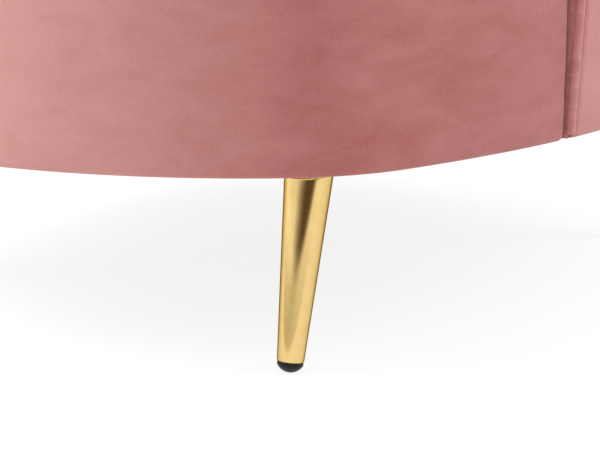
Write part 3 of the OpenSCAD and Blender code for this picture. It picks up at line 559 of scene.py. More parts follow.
def makeLeg(corner):
    # Cone along the axis, radius = top radius + slope * run. Its upper end is cut level under the plate, and
    # its foot rolls in over a quarter circle
    slope = (leg["footRadius"] - leg["topRadius"]) / footRun
    _, _, u, v = legFrame(corner)
    angle = np.linspace(0, 2 * np.pi, leg["sides"], endpoint=False)
    climb = np.cos(angle) * u[2] + np.sin(angle) * v[2]
    cut = leg["topRadius"] * climb / (math.cos(axisTilt) - slope * climb)
    share = np.linspace(0, 1, 34)[:, None]
    bend = np.radians(np.linspace(0, 90, 7))[1:, None]
    share, bend = np.concatenate([share, 1 + 0 * bend]), np.concatenate([0 * share, bend])
    runs = cut + (footRun - leg["lip"] - cut) * share + leg["lip"] * np.sin(bend)
    radii = leg["topRadius"] + slope * runs - leg["lip"] * (1 - np.cos(bend))
    rings = spin(corner, runs, radii, leg["sides"])
    piece = makePiece("leg_tube_" + corner, rings, tubeFaces(*rings.shape[:2]), brass)
    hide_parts("leg_" + corner)
    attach(piece, "chair")


def makeGlide(corner):
    # Rounded rim, then a dome of radius r: run = middle + r * sin(a), radius = r * cos(a), flat on the floor
    r, rim, edge = glide["domeRadius"], glide["rimRadius"], glide["edge"]
    start = footRun + glide["gap"]
    bend = np.radians(np.linspace(0, 90, 5))
    reach = math.acos(rim / r)
    dome = np.linspace(reach, math.radians(89), 22)
    runs = np.concatenate([start + edge * (1 - np.sin(bend[::-1])), domeRun + r * np.sin(dome)])
    radii = np.concatenate([rim - edge * (1 - np.cos(bend[::-1])), r * np.cos(dome)])
    rings = spin(corner, runs[:, None], radii[:, None], glide["sides"])
    rings[..., 2] = np.maximum(rings[..., 2], 0)
    piece = makePiece("glide_dome_" + corner, rings, tubeFaces(*rings.shape[:2]), glideBlack)
    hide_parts("glide_" + corner)
    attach(piece, "glide_" + corner)


corners = ("front_right", "front_left", "rear_right", "rear_left")
for corner in corners:
    makeLeg(corner)
    makeGlide(corner)
print("legs: made", len(corners))


# Outside of the tub: one velvet cover from its hem, up the wall and over to the piping
shell = dict(step=0.005, underWelt=0.0015, thickness=0.0014, proud=0.0021,
             hem=0.034, hemFlat=0.016, edgeIn=0.006, edgeUp=0.0025, edgeRound=0.005, swell=0.002,
             dent=0.0009, dentSize=0.11, tuckWidth=0.005, tuckDepth=0.003,
             beside=3.5, sink=0.0026, sinkWidth=0.007, fleece=0.0045, under=0.0004)


def rollEdge(turn, towards):
    # Part of the roll's half ellipse, from its flank at 0 or 180 degrees to beside the piping, where the
    # cloth sinks in
    piping, beside = tub["pipingAngle"], shell["beside"]
    outer, inner = np.linspace(0, piping - beside, 15), np.linspace(piping + beside, 180, 34)
    angle = (outer if towards == "outside" else inner)[None, :] + 0 * turn
    away = np.radians(np.abs(angle - piping) - beside) * tub["roll"]
    return rollAt(turn, angle, tuck(away, shell["sinkWidth"], shell["sink"]))


def makeOutsideBack():
    # Tub point of a turn, an inset and a height: the hem rises to a round edge, the face swells by
    # sin(pi * share of its height) ^ 0.5, and the roll's outer half ends beside the piping
    start = plan["seamTurn"] + arcTurn(shell["underWelt"], plan["sideRadius"])
    turns, along, length = evenTurns(start, 360 - start, shell["step"])
    turn = turns[:, None]
    r, hemZ = shell["edgeRound"], apronZ - shell["proud"]
    low = hemZ + shell["edgeUp"]
    bend = np.radians(np.linspace(0, 90, 8))
    inset = np.concatenate([np.linspace(shell["hem"], shell["hemFlat"], 4),
                            np.linspace(shell["hemFlat"], shell["edgeIn"], 4)[1:], r - r * np.sin(bend)])
    z = np.concatenate([np.full(4, hemZ), np.linspace(hemZ, low, 4)[1:], low + r - r * np.cos(bend)])
    base = topZ(turn) - tub["roll"]
    share = np.linspace(0, 1, 74)[None, 1:-1]
    faceZ = low + r + (base - low - r) * share
    puff = shell["swell"] * np.sin(np.pi * share) ** 0.5
    rollIn, rollZ = rollEdge(turn, "outside")
    inset = np.concatenate([inset[None, :] + 0 * turn, -puff + 0 * faceZ, rollIn], 1)
    z = np.concatenate([z[None, :] + 0 * turn, faceZ, rollZ], 1)
    flat = tubPoint(turn, inset, z)
    toEnd = np.minimum(along, length - along)[:, None]
    inset = inset - shell["proud"] + tuck(toEnd, shell["tuckWidth"], shell["tuckDepth"])
    inset = inset + shell["dent"] * softNoise(flat, shell["dentSize"], 11)
    piece = makeSheet("outside_back_velvet", tubPoint(turn, inset, z), velvetPaintedPaler, shell["thickness"])
    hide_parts("outside_back_cover", "outside_back_hem")
    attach(piece, "chair")
    # Fleece right behind the wall's velvet
    rows, wall = slice(3, -3), slice(-faceZ.shape[1] - rollIn.shape[1], -rollIn.shape[1])
    under = inset[rows, wall] + shell["thickness"] + shell["under"]
    fleece = tubPoint(turn[rows], under, z[rows, wall])
    fleece = makeSheet("outside_back_fleece", fleece, wadding, shell["fleece"])
    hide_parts("outside_back_wadding")
    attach(fleece, "chair")


# Inside of the tub: three padded panels, sewn together where the arms meet the back
lining = dict(step=0.006, thickness=0.0014, aboveRing=0.0003, swell=0.004, fullFromSeam=0.035,
              fullFromEnd=0.030, seamWidth=0.016, seamDepth=0.006, seamStep=0.0012,
              fold=0.0011, foldSize=0.020, foldReach=0.060,
              dent=0.0016, dentSize=0.095, facingTuck=0.006, facingDepth=0.003)


def makeInsideBack():
    # Tub point of a turn, an inset and a height: the roll's inner half, then the padding's inner face down to
    # the ring, full in the middle of each panel and drawn in at the seams and beside the arm fronts
    start = plan["seamTurn"] + arcTurn(shell["underWelt"], plan["sideRadius"] - tub["wall"])
    # Even steps along the wall's inner face, closer together beside both panel seams
    turns, along, length = evenTurns(start, 360 - start, lining["step"], inset=tub["wall"])
    seams = np.interp([180 - tub["panelHalf"], 180 + tub["panelHalf"]], turns, along)
    near = np.arange(-15, 16) * lining["seamStep"]
    along = np.unique(np.concatenate([along] + [seam + near for seam in seams]))
    dense, run = outlineRun(start, 360 - start, tub["wall"])
    turn = np.interp(along, run, dense)[:, None]
    rollIn, rollZ = rollEdge(turn, "inside")
    base = topZ(turn) - tub["roll"]
    low = ringZ + lining["aboveRing"]
    share = np.linspace(0, 1, 62)[None, 1:]
    faceZ = base + (low - base) * share
    faceIn = insideAt(turn, faceZ)
    inset = np.concatenate([rollIn, faceIn], 1)
    z = np.concatenate([rollZ, faceZ], 1)
    flat = tubPoint(turn, inset, z)
    toSeam = np.min(np.abs(along[:, None] - seams[None, :]), axis=1)[:, None]
    toEnd = np.minimum(along, length - along)[:, None]
    full = (1 - np.exp(-toSeam / lining["fullFromSeam"])) * (1 - np.exp(-toEnd / lining["fullFromEnd"]))
    body = np.concatenate([0 * rollIn, np.sin(np.pi * share) ** 0.6 + 0 * faceIn], 1)
    # 0 at the piping, 1 from the roll's inner flank down
    overRoll = np.sin(np.radians(np.linspace(0, 90, rollIn.shape[1])))[None, :]
    onRoll = np.concatenate([overRoll + 0 * rollIn, 1 + 0 * faceIn], 1)
    # Folds at the seams run down the wall, so their noise is drawn out in height
    folds = softNoise(flat * [1, 1, 0.35], lining["foldSize"], 21)
    folds = folds * np.exp(-toSeam / lining["foldReach"]) * onRoll
    # Where the back meets the arms, the padding is pulled in along the whole seam
    notch = np.exp(-(toSeam / (lining["seamWidth"] / 2)) ** 1.3)
    pulled = lining["seamDepth"] * notch * np.clip(onRoll * 1.6, 0, 1)
    toFacing = tuck(toEnd, lining["facingTuck"], lining["facingDepth"])
    inset = inset + (lining["swell"] * full * body - pulled - toFacing + lining["fold"] * folds
                     + lining["dent"] * softNoise(flat, lining["dentSize"], 23) * onRoll)
    piece = makeSheet("inside_back_velvet", tubPoint(turn, inset, z), velvet, lining["thickness"])
    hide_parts("inside_back_cover", "inside_back_foam", "inside_arm_foam_left", "inside_arm_foam_right")
    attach(piece, "chair")


makeOutsideBack()
makeInsideBack()
print("tub: made its outside and inside covers")

# Arm fronts: a padded panel inside a welt that runs from the hem over the arm and down its inside
armFront = dict(inset=0.0066, thickness=0.003, bottom=0.0004, puff=0.0055, puffWidth=0.016, proud=0.0005,
                dent=0.0006, dentSize=0.03, seamDepth=0.0035, seamWidth=0.003,
                weltIn=0.0019, weltLift=0.0034, weltStep=0.006,
                flange=0.020, flangeAhead=0.0030, flangeLift=0.0005, flangeTop=0.006, flangeThickness=0.0012)


def weltPath():
    # Up the outside at the seam, over the roll and down the inside, at an inset from the wall's faces
    turn, inset, step = np.array(plan["seamTurn"]), armFront["weltIn"], armFront["weltStep"]
    base = topZ(turn) - tub["roll"]
    upZ = np.arange(apronZ + armFront["weltLift"], base, step)
    overIn, overZ = rollAt(turn, np.linspace(0, 180, 30), inset)
    downZ = np.arange(base - step, ringZ + 0.001, -step)
    insets = np.concatenate([inset + 0 * upZ, overIn, insideAt(turn, downZ) - inset])
    return tubPoint(turn, insets, np.concatenate([upZ, overZ, downZ]))


def makeArmFront(side):
    mirror = np.array([1.0 if side == "right" else -1.0, 1, 1])
    turn = np.array(plan["seamTurn"])
    forward = -np.append(np.stack([np.cos(np.radians(turn)), np.sin(np.radians(turn))]), 0)
    welt = makeCord("arm_welt_cord_" + side, weltPath() * mirror, weltRadius, forward * mirror, trimVelvetPaintedPaler,
                    seed=31)
    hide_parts("arm_welt_" + side)
    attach(welt, "chair")
    # Flange: the welt's flat edge, tacked to the post below the seat beside the apron's end
    ahead = plan["seamTurn"] - arcTurn(armFront["flangeAhead"], plan["sideRadius"])
    across = np.linspace(armFront["weltIn"], armFront["flange"], 8)[None, :]
    rise = np.linspace(apronZ + armFront["flangeLift"], deckZ + armFront["flangeTop"], 60)[:, None]
    flange = tubPoint(np.array(ahead), across + 0 * rise, rise + 0 * across) * mirror
    # The flange wears the paler trim velvet: painted light in the shaded crevice beside the apron
    flange = makeSheet("arm_welt_flange_" + side, flange, trimVelvetPaintedPaler, armFront["flangeThickness"],
                       flip=side == "left")
    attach(flange, "chair")
    # Panel: rows climb to the top of the roll, columns run across from the outside to the inside. It puffs
    # forward by puff * (1 - exp(-distance to its edge / width)) and sinks at the welt
    d = armFront["inset"]
    base = topZ(turn) - tub["roll"]
    levels = np.linspace(ringZ + armFront["bottom"], base, 60)[:-1]
    climb = np.radians(np.linspace(0, 88, 24))
    half = wallAt(base) / 2
    z = np.concatenate([levels, base + (tub["roll"] - d) * np.sin(climb)])
    left = np.concatenate([d + 0 * levels, half - (half - d) * np.cos(climb)])
    right = np.concatenate([insideAt(turn, levels) - d, half + (half - d) * np.cos(climb)])
    across = 0.5 - 0.5 * np.cos(np.linspace(0, np.pi, 33))
    inset = left[:, None] + (right - left)[:, None] * across[None, :]
    height = z[:, None] + 0 * inset
    overTop = (base + tub["roll"] - d - height).clip(0)
    sides = np.minimum(inset - left[:, None], right[:, None] - inset)
    toEdge = np.minimum(sides, overTop)
    flat = tubPoint(turn, inset, height)
    puff = armFront["puff"] * (1 - np.exp(-toEdge / armFront["puffWidth"])) + armFront["proud"]
    puff = puff + armFront["dent"] * softNoise(flat, armFront["dentSize"], 37)
    puff = puff - armFront["seamDepth"] * np.exp(-toEdge / armFront["seamWidth"])
    grid = (flat + puff[..., None] * forward) * mirror
    piece = makeSheet("arm_front_velvet_" + side, grid, velvet, armFront["thickness"], flip=side == "left")
    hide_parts("arm_facing_" + side)
    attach(piece, "chair")


for side in ("right", "left"):
    makeArmFront(side)


topPiping = dict(gap=0.0002, step=0.005, out=0.0012)


def makeTopPiping():
    # Along the roll at the piping's angle, from just behind one welt to just behind the other
    start = plan["seamTurn"] + arcTurn(weltRadius + pipingRadius + topPiping["gap"], plan["sideRadius"])
    turns, _, _ = evenTurns(start, 360 - start, topPiping["step"])
    inset, z = rollAt(turns, tub["pipingAngle"], -topPiping["out"])
    path = tubPoint(turns, inset, z)
    cord = makeCord("top_piping_cord", path, pipingRadius, (0, 0, 1), trimVelvetPaintedPaler, seed=41)
    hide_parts("top_piping")
    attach(cord, "chair")


makeTopPiping()
print("trim: made the welts, arm fronts and top piping")

# Seat cushion: boxed, with ears in front of the arms, two pipings and a zip at the back
cushion = dict(inset=0.006, gap=0.009, earGap=0.006, facing=0.007, corner=0.011, cord=0.0035, cordOut=0.0004,
               slack=0.0015, crown=0.017, voxel=0.0065, pressure=4.0, frames=20, reach=0.010,
               zipBehind=0.15, zipHalf=0.20, zipReach=0.016, drawIn=0.013, pinch=0.12,
               dent=0.0012, dentSize=0.09, dentFrom=0.03,
               pucker=0.0007, puckerSize=0.012, puckerFrom=0.004, puckerReach=0.014)
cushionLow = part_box("cushion_bottom_cover")[0].z
seamLow = sum(corner.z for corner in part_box("cushion_piping_lower")) / 2
seamHigh = sum(corner.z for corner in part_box("cushion_piping_upper")) / 2
cushionMid = np.array([0.0, (sum(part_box("cushion_core"), Vector()) / 2).y])


def seatLoop(inset, gap, armGap, corner, count=720):
    # Closed outline inside the arms: the seat's front, then the inside of the tub, its corners rounded by
    # averaging each point with its neighbours, weighted by exp(-0.5 * (distance / corner) ^ 2)
    space = cushion["facing"] / 2 + armGap
    end = plan["seamTurn"] - arcTurn(space, plan["sideRadius"])
    start = plan["seamTurn"] - arcTurn(space, plan["sideRadius"] - tub["wall"] - tub["belly"])
    rear = np.linspace(start, 360 - start, 900)
    front = planPoint(np.linspace(-end, end, 900), inset)
    line = np.concatenate([front, tubPoint(rear, insideAt(rear, deckZ) + gap, deckZ)[:, :2], front[:1]])
    run = runAlong(line)
    even = np.linspace(0, run[-1], count, endpoint=False)
    loop = np.stack([np.interp(even, run, line[:, axis]) for axis in (0, 1)], -1)
    offset = np.minimum(np.arange(count), count - np.arange(count)) * run[-1] / count
    blur = np.exp(-0.5 * (offset / corner) ** 2)
    spectrum = np.fft.fft(blur / blur.sum())[:, None] * np.fft.fft(loop, axis=0)
    return np.real(np.fft.ifft(spectrum, axis=0))


def cushionLoop(more, count=720):
    c = cushion
    return seatLoop(c["inset"] + more, c["gap"] + more, c["earGap"] + more, c["corner"], count)


def makeDisc(name, rings, centre, material, under=False):
    # Rings of points, one inside the other, closed by a point in the middle
    rows, cols = rings.shape[:2]
    faces = gridFaces(rows, cols, False, True)
    faces += [[(rows - 1) * cols + i, (rows - 1) * cols + (i + 1) % cols, rows * cols] for i in range(cols)]
    points = np.concatenate([rings.reshape(-1, 3), [centre]])
    return makePiece(name, points, [f[::-1] for f in faces] if under else faces, material)


def lifted(loop, z):
    # Flat loop of points at a height
    return np.concatenate([loop, np.broadcast_to(z, loop.shape[:1])[:, None]], 1)


def cushionShape():
    # Closed form of the cushion before it is filled: flat bottom, upright sides, and a top that rises towards
    # the middle by crown * (1 - share of the way out ^ 3)
    c = cushion
    edge, side = cushionLoop(c["cord"] * 2 + c["slack"], 360), cushionLoop(c["cord"] + c["slack"], 360)
    low, high = cushionLow + c["slack"], seamHigh + c["cord"] - c["slack"]
    shares = np.array([0.06, 0.14, 0.24, 0.36, 0.48, 0.60, 0.71, 0.81, 0.90, 0.96, 1.0])
    flat = [cushionMid + share * (edge - cushionMid) for share in shares]
    bottom = [lifted(loop, low) for loop in flat]
    walls = [lifted(side, seamLow + (seamHigh - seamLow) * share) for share in np.linspace(0, 1, 15)]
    crowned = high + c["crown"] * (1 - shares ** 3)
    top = [lifted(loop, level) for loop, level in zip(flat[::-1], crowned[::-1])]
    rings = np.stack(bottom + walls + top)
    rows, cols = rings.shape[:2]
    faces = gridFaces(rows, cols, False, True)
    last = (rows - 1) * cols
    faces += [[(i + 1) % cols, i, rows * cols] for i in range(cols)]
    faces += [[last + i, last + (i + 1) % cols, rows * cols + 1] for i in range(cols)]
    points = np.concatenate([rings.reshape(-1, 3), [[*cushionMid, low], [*cushionMid, high + c["crown"]]]])
    return makePiece("seat_cushion_velvet", points, faces, velvet)


def bake(piece):
    # Keep what a piece's modifiers make of it as its own mesh
    graph = bpy.context.evaluated_depsgraph_get()
    mesh = bpy.data.meshes.new_from_object(piece.evaluated_get(graph))
    piece.modifiers.clear()
    old, piece.data = piece.data, mesh
    bpy.data.meshes.remove(old)
    mesh.name = piece.name


def readPoints(mesh):
    points = np.empty(len(mesh.vertices) * 3)
    mesh.vertices.foreach_get("co", points)
    return points.reshape(-1, 3)


def writePoints(mesh, points):
    mesh.vertices.foreach_set("co", points.ravel())
    mesh.update()


def nearest(points, line):
    # Distance of each point from a closed line of points, and which of them is nearest
    tree = KDTree(len(line))
    for index, spot in enumerate(line):
        tree.insert(spot, index)
    tree.balance()
    found = [tree.find(point)[1:] for point in points]
    return np.array([f[1] for f in found]), np.array([f[0] for f in found])


def fillCushion(piece, seams):
    # The cover is blown up by its filling while the seams and the zip hold it
    c = cushion
    remesh = piece.modifiers.new("even quads", "REMESH")
    remesh.mode, remesh.voxel_size = "VOXEL", c["voxel"]
    bake(piece)
    points = readPoints(piece.data)
    toSeam = np.minimum(*[nearest(points, seam)[0] for seam in seams])
    x, y, z = points.T
    onZip = (y > c["zipBehind"]) & (np.abs(x) < c["zipHalf"])
    onZip &= np.abs(z - (seamLow + seamHigh) / 2) < c["zipReach"]
    held = piece.vertex_groups.new(name="held")
    held.add(np.flatnonzero((toSeam < c["voxel"]) | onZip).tolist(), 1.0, "REPLACE")
    cloth = piece.modifiers.new("filling", "CLOTH")
    settings = cloth.settings
    settings.quality, settings.mass, settings.time_scale = 6, 0.35, 1.0
    settings.tension_stiffness = settings.compression_stiffness = 12
    settings.shear_stiffness, settings.bending_stiffness = 6, 0.6
    settings.use_pressure, settings.uniform_pressure_force = True, c["pressure"]
    settings.vertex_group_mass = "held"
    settings.effector_weights.gravity = 0
    cloth.point_cache.frame_end = c["frames"]
    for step in range(1, c["frames"] + 1):
        bpy.context.scene.frame_set(step)
    bake(piece)
    bpy.context.scene.frame_set(1)
    filled = readPoints(piece.data)
    move = filled - points
    far = np.linalg.norm(move, axis=1, keepdims=True)
    points = points + move * np.minimum(1, c["reach"] / np.maximum(far, 1e-9))
    piece.vertex_groups.clear()
    points[:, 2] = np.maximum(points[:, 2], cushionLow)
    writePoints(piece.data, points)


def makeCushion():
    # The filled form, each point moved along its normal by puckers and dents, then drawn in to the seams
    c = cushion
    around = cushionLoop(c["cord"] - c["cordOut"], 2880)
    seams = [lifted(around, seamLow), lifted(around, seamHigh)]
    piece = cushionShape()
    fillCushion(piece, seams)
    finer = piece.modifiers.new("finer", "SUBSURF")
    finer.levels = finer.render_levels = 1
    bake(piece)
    # Puckers that the seams pull into the velvet, and soft dents all over
    points = readPoints(piece.data)
    normals = np.empty(len(points) * 3)
    piece.data.vertices.foreach_get("normal", normals)
    normals = normals.reshape(-1, 3)
    low, nearLow = nearest(points, seams[0])
    high, nearHigh = nearest(points, seams[1])
    toSeam = np.minimum(low, high)
    isLow = low < high
    line = np.where(isLow[:, None], seams[0][nearLow], seams[1][nearHigh])
    along = np.where(isLow, nearLow, nearHigh) * np.linalg.norm(around[1] - around[0])
    wave = softNoise(np.stack([along, toSeam * 0.25, 0 * along], -1), c["puckerSize"], 51)
    depth = c["pucker"] * wave * np.exp(-((toSeam - c["puckerFrom"]) / c["puckerReach"]) ** 2)
    depth += c["dent"] * softNoise(points, c["dentSize"], 53) * (1 - np.exp(-toSeam / c["dentFrom"]))
    points = points + depth[:, None] * normals
    # The covers are drawn in to the seam line under the cord
    kept = c["pinch"] + (1 - c["pinch"]) * smoothStep(toSeam / c["drawIn"])[:, None]
    points = line + (points - line) * kept
    points[:, 2] = np.maximum(points[:, 2], cushionLow)
    writePoints(piece.data, points)
    piece.data.polygons.foreach_set("use_smooth", [True] * len(piece.data.polygons))
    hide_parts("cushion_core", "cushion_top_cover", "cushion_boxing", "cushion_bottom_cover")
    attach(piece, "seat_cushion")
    for level, seam, seed in (("lower", seams[0], 61), ("upper", seams[1], 63)):
        cord = makeCord("cushion_piping_cord_" + level, seam[::4], c["cord"], (0, 0, 1), trimVelvetPaintedPaler,
                        closed=True, seed=seed)
        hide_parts("cushion_piping_" + level)
        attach(cord, "seat_cushion")
    print("cushion: filled and sewn,", len(piece.data.polygons), "faces")


makeCushion()

# Deck under the cushion: a velvet border that shows beside it, and plain cloth in the middle
deck = dict(lip=0.0165, gap=0.0012, border=0.075, corner=0.012, drop=0.0003, tuckWidth=0.004,
            tuckDepth=0.0009, fine=0.0008, fineReach=0.008, middle=0.2, thickness=0.0012)


def makeDeck():
    # Outlines inside the seat's outline, each a little further in, tucked in along both edges of the border
    width, fine, reach = deck["border"], deck["fine"], deck["fineReach"]
    insets = np.concatenate([np.arange(0, reach, fine), np.linspace(reach, width - reach, 12),
                             np.arange(width - reach + fine, width + fine / 8, fine)])
    rings = []
    for more in insets:
        loop = seatLoop(deck["lip"] + more, deck["gap"] + more, deck["gap"] + more, deck["corner"], 540)
        edge = tuck(min(more, width - more), deck["tuckWidth"], deck["tuckDepth"])
        rings.append(lifted(loop, deckZ - deck["drop"] - edge))
    rings = np.stack(rings)
    border = makePiece("deck_border_velvet", rings, gridFaces(*rings.shape[:2], False, True), velvet)
    middle = rings[-1, :, :2]
    inner = []
    for share in np.concatenate([np.linspace(1, 0.97, 7), np.linspace(0.94, 0.04, 18)]):
        edge = tuck((1 - share) * deck["middle"], deck["tuckWidth"], deck["tuckDepth"])
        inner.append(lifted(cushionMid + share * (middle - cushionMid), deckZ - deck["drop"] - edge))
    cloth = makeDisc("deck_cloth", np.stack(inner), [*cushionMid, deckZ - deck["drop"]], deckCloth)
    for piece, slot in ((border, "velvet"), (cloth, "deck_cloth")):
        thicken(piece, deck["thickness"])
        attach(piece, "chair")
    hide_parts("deck_cover")


makeDeck()

# Dust cover: black cambric stapled under the frame, cut to its outline and hanging slack in the middle
dust = dict(step=0.007, thickness=0.0004, gap=0.0002, taut=0.085, slackOver=0.15, sag=0.006,
            ripple=0.0008, rippleSize=0.05)
dustLow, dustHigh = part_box("dust_cover")


def makeDustCover():
    # Outlines shrunk to the middle, each hanging by slack * (sag - ripple); slack grows away from the rim
    turns, _, _ = evenTurns(-180, 180, dust["step"])
    rim = planPoint(turns[:-1], planPoint(np.array(180.0), 0.0)[1] - dustHigh.y)
    middle = np.array([0.0, (dustLow.y + dustHigh.y) / 2])
    top = dustHigh.z - dust["gap"]
    rings = []
    for share in np.concatenate([[1, 0.997, 0.99], np.linspace(0.97, 0.03, 30)]):
        flat = middle + share * (rim - middle)
        slack = smoothStep((np.linalg.norm(rim - flat, axis=1) - dust["taut"]) / dust["slackOver"])
        ripple = dust["ripple"] * softNoise(lifted(flat, 0.0), dust["rippleSize"], 71)
        rings.append(lifted(flat, top - slack * (dust["sag"] - ripple)))
    lowest = [*middle, top - dust["sag"]]
    piece = makeDisc("dust_cover_cambric", np.stack(rings), lowest, cambric, under=True)
    thicken(piece, dust["thickness"])
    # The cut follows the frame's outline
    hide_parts("dust_cover")
    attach(piece, "chair")


makeDustCover()

# Zip along the rear of the cushion: woven tape, closed teeth, and a slider with a pull
zipper = dict(half=24.0, height=0.024, out=0.0007, tape=0.0008, pitch=0.0026, tooth=(0.0014, 0.0013, 0.0034),
              slider=(0.0046, 0.0090, 0.0120), power=5.0, pull=(0.0040, 0.016), wire=0.0008, end=0.012)
zipMid = (seamLow + seamHigh) / 2


def zipPoint(turn, out, z):
    # Behind the cushion's rear face, which is a circle about the middle of the back's arc
    inset = insideAt(turn, deckZ) + cushion["gap"] + cushion["cord"] - out
    flat = tubPoint(turn, inset, deckZ + 0 * turn)[..., :2]
    return np.concatenate([flat, np.broadcast_to(z, flat.shape[:-1])[..., None]], -1)


def makeZip():
    turns = np.linspace(180 - zipper["half"], 180 + zipper["half"], 90)
    z = np.linspace(-zipper["height"] / 2, zipper["height"] / 2, 9)
    turn, level = np.meshgrid(turns, z, indexing="ij")
    face = zipper["out"] + zipper["tape"]
    tape = zipPoint(turn, face, zipMid + level)
    tape = makeSheet("cushion_zip_tape", tape, zipTape, zipper["tape"])
    # Teeth: small boxes at even turns, a little above and below the middle by turns
    radius = backRadius - tub["wall"]
    count = int(2 * math.radians(zipper["half"]) * radius / zipper["pitch"]) - 4
    middle = np.linspace(-1, 1, count) * (zipper["half"] - 0.4) + 180
    thick, wide, tall = zipper["tooth"]
    box = np.array([[a, b, c] for a in (0, 1) for b in (-0.5, 0.5) for c in (-0.5, 0.5)])
    side = np.where(np.arange(count) % 2 == 0, 1.0, -1.0)[:, None] * tall * 0.22
    spots = zipPoint(middle[:, None] + box[None, :, 1] * arcTurn(wide, radius),
                     face + box[None, :, 0] * thick, zipMid + side + box[None, :, 2] * tall)
    quads = np.array([[0, 1, 3, 2], [4, 6, 7, 5], [0, 4, 5, 1], [2, 3, 7, 6], [0, 2, 6, 4], [1, 5, 7, 3]])
    faces = (np.arange(count)[:, None, None] * 8 + quads[None]).reshape(-1, 4).tolist()
    teeth = makePiece("cushion_zip_teeth", spots, faces, zipMetal, smooth=False)
    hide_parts("cushion_zip")
    for piece in (tape, teeth):
        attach(piece, "seat_cushion")


def makeSlider():
    low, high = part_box("zip_slider")
    at = 180 - zipper["half"] + arcTurn(zipper["end"], backRadius - tub["wall"])
    centre = np.array([(low.x + high.x) / 2, (low.y + high.y) / 2, (low.z + high.z) / 2])
    out, up = np.append(heading(at), 0), np.array([0, 0, 1.0])
    across = np.array([-out[1], out[0], 0])
    # Body: a box with well rounded edges, where |x| ^ p + |y| ^ p + |z| ^ p = 1
    rise = np.radians(np.linspace(-88, 88, 25))
    around = np.radians(np.linspace(0, 360, 40, endpoint=False))
    u, v = np.meshgrid(rise, around, indexing="ij")
    shape = np.stack([np.cos(u) * np.cos(v), np.cos(u) * np.sin(v), np.sin(u)], -1)
    shape /= (np.abs(shape) ** zipper["power"]).sum(-1, keepdims=True) ** (1 / zipper["power"])
    size = np.array(zipper["slider"]) / 2
    points = centre + (shape * size) @ np.stack([out, across, up])
    body = makePiece("zip_slider_body", points, tubeFaces(*points.shape[:2]), zipMetal)
    # Pull: a wire loop that hangs from the body
    half, drop = zipper["pull"]
    angle = np.radians(np.linspace(0, 360, 64, endpoint=False))
    run = np.stack([half * np.cos(angle) * np.abs(np.cos(angle)) ** -0.3, 0.5 * drop * np.sin(angle)], -1)
    hang = centre + out * (size[0] + zipper["wire"] * 0.4) - up * drop * 0.42
    path = hang + run[:, :1] * across + run[:, 1:] * up
    pull = makeCord("zip_slider_pull", path, zipper["wire"], tuple(out), zipMetal, closed=True, sides=12,
                    seed=81)
    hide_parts("zip_slider")
    for piece in (body, pull):
        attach(piece, "zip_slider")


makeZip()
makeSlider()
print("zip: made")

# Stage, lights and camera
studio = dict(azimuth=34.17, elevation=13.53, distance=0.9949, lens=82.37, aimHeight=0.10483,
              aimRight=-0.0067, floor=60.0, ambient=0.68, shadowed="7f7f7f", glow=0.86, lightAim=0.35)
lights = {
    "key": dict(azimuth=-52, elevation=34, distance=2.6, size=1.5, power=62),
    "side": dict(azimuth=118, elevation=30, distance=2.6, size=1.2, power=20),
    "rear": dict(azimuth=205, elevation=45, distance=2.8, size=1.6, power=9),
}
# Each card runs from its near edge to its far edge, each a distance from the middle and a height
cards = {
    "brown card": dict(azimuth=33, near=(1.45, 0.0), far=(1.45, 0.165), width=3.1, shades=(1.55, 0.50),
                       paint="4a3216"),
    "grey runner": dict(azimuth=10, near=(0.50, 0.0006), far=(1.44, 0.0006), width=1.5, shades=(0.75, 0.72),
                        paint="d8d6ca"),
}


def direction(azimuth, elevation):
    # Unit vector from the chair towards a turn and a height angle, both in degrees
    a, e = math.radians(azimuth), math.radians(elevation)
    return Vector((math.sin(a) * math.cos(e), -math.cos(a) * math.cos(e), math.sin(e)))


def makeLight(name, azimuth, elevation, distance, size, power):
    # Square white soft box that looks at the middle of the chair
    data = bpy.data.lights.new(name, "AREA")
    data.size, data.energy = size, power
    light = bpy.data.objects.new(name, data)
    back = direction(azimuth, elevation)
    light.location = Vector((0, 0, studio["lightAim"])) + back * distance
    light.rotation_euler = back.to_track_quat("Z", "Y").to_euler()
    bpy.context.scene.collection.objects.link(light)


for name, light in lights.items():
    makeLight(name, **light)


def emptyTree(owner):
    # Nodes of a material or of the world, cleared
    owner.use_nodes = True
    owner.node_tree.nodes.clear()
    return owner.node_tree


def seenRays(tree):
    # 1 for rays of the camera and of what polished metal shows, 0 for the rays that light the chair
    path = addNode(tree, "LightPath")
    total = path.outputs["Is Camera Ray"]
    for kind in ("Is Glossy Ray", "Is Transmission Ray"):
        total = addNode(tree, "Math", {"operation": "ADD", "use_clamp": True},
                        {0: total, 1: path.outputs[kind]}).outputs["Value"]
    return total


def makeFloor():
    # White paper: it lights the chair as paper does, and is seen paler, with the chair's shadow left on it
    half = studio["floor"] / 2
    material = bpy.data.materials.new("white paper sweep")
    tree = emptyTree(material)
    paper = addNode(tree, "BsdfDiffuse", {"Color": colour("f4f4f4")})
    thin = addNode(tree, "BsdfDiffuse", {"Color": colour(studio["shadowed"])})
    glow = addNode(tree, "Emission", {"Color": (1, 1, 1, 1), "Strength": studio["glow"]})
    pale = addNode(tree, "AddShader", links={0: thin.outputs["BSDF"], 1: glow.outputs["Emission"]})
    seen = addNode(tree, "MixShader", links={"Fac": seenRays(tree), 1: paper.outputs["BSDF"],
                                             2: pale.outputs["Shader"]})
    addNode(tree, "OutputMaterial", links={"Surface": seen.outputs["Shader"]})
    floor = makePiece("floor", [(-half, -half, 0), (half, -half, 0), (half, half, 0), (-half, half, 0)],
                      [[0, 1, 2, 3]], material, smooth=False)


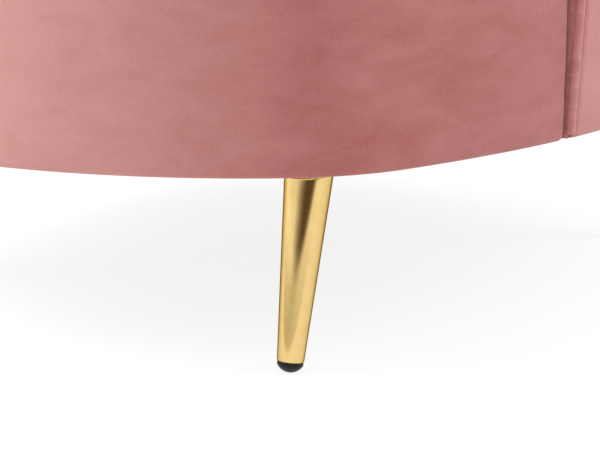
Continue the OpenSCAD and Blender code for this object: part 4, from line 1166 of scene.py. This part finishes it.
def makeWorld():
    world = bpy.data.worlds.new("studio")
    bpy.context.scene.world = world
    tree = emptyTree(world)
    room = addNode(tree, "Background", {"Color": (1, 1, 1, 1), "Strength": studio["ambient"]})
    white = addNode(tree, "Background", {"Color": (1, 1, 1, 1), "Strength": 1.0})
    seen = addNode(tree, "MixShader", links={"Fac": seenRays(tree), 1: room.outputs["Background"],
                                             2: white.outputs["Background"]})
    addNode(tree, "OutputWorld", links={"Surface": seen.outputs["Shader"]})


def makeCard(name, azimuth, near, far, width, shades, paint):
    # Card beside the camera, its sides shading into white: seen only as a streak in polished metal
    a = math.radians(azimuth)
    side, out = np.array([math.cos(a), math.sin(a), 0]), np.array([math.sin(a), -math.cos(a), 0])
    half, across = width / 2, side * width / 2
    material = bpy.data.materials.new(name)
    tree = emptyTree(material)
    place = addNode(tree, "TexCoord").outputs["Object"]
    along = addNode(tree, "VectorMath", {"operation": "DOT_PRODUCT", 1: tuple(side)}, {0: place})
    along = along.outputs["Value"]
    fades = []
    for start, stop in ((-half + shades[0], -half), (half - shades[1], half)):
        fade = {"interpolation_type": "SMOOTHSTEP", "From Min": start, "From Max": stop}
        fades.append(addNode(tree, "MapRange", fade, {"Value": along}).outputs["Result"])
    edge = addNode(tree, "Math", {"operation": "MAXIMUM"}, {0: fades[0], 1: fades[1]}).outputs["Value"]
    dark = addNode(tree, "Emission", {"Color": colour(paint), "Strength": 1.0})
    pale = addNode(tree, "Emission", {"Color": (1, 1, 1, 1), "Strength": 1.0})
    both = addNode(tree, "MixShader", links={"Fac": edge, 1: dark.outputs["Emission"],
                                             2: pale.outputs["Emission"]})
    addNode(tree, "OutputMaterial", links={"Surface": both.outputs["Shader"]})
    low, high = (out * away + [0, 0, up] for away, up in (near, far))
    corners = [low - across, low + across, high + across, high - across]
    piece = makePiece(name.replace(" ", "_"), corners, [[0, 1, 2, 3]], material, smooth=False)
    piece.visible_camera = piece.visible_diffuse = piece.visible_shadow = False
    piece.visible_transmission = piece.visible_volume_scatter = False


def makeCamera():
    low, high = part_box("leg_plate_front_right")
    a = math.radians(studio["azimuth"])
    right = Vector((math.cos(a), math.sin(a), 0))
    aim = Vector(((low.x + high.x) / 2, (low.y + high.y) / 2, studio["aimHeight"]))
    aim = aim + right * studio["aimRight"]
    back = direction(studio["azimuth"], studio["elevation"])
    data = bpy.data.cameras.new("camera")
    data.lens, data.sensor_width = studio["lens"], 36.0
    data.clip_start, data.clip_end = 0.01, 100
    camera = bpy.data.objects.new("camera", data)
    camera.location = aim + back * studio["distance"]
    camera.rotation_mode = "QUATERNION"
    camera.rotation_quaternion = back.to_track_quat("Z", "Y")
    bpy.context.scene.collection.objects.link(camera)
    bpy.context.scene.camera = camera


makeFloor()
makeWorld()
for name, card in cards.items():
    makeCard(name, **card)
makeCamera()
bpy.context.scene.view_settings.view_transform = "Standard"
bpy.context.view_layer.update()
print("stage: floor, lights and camera in place")
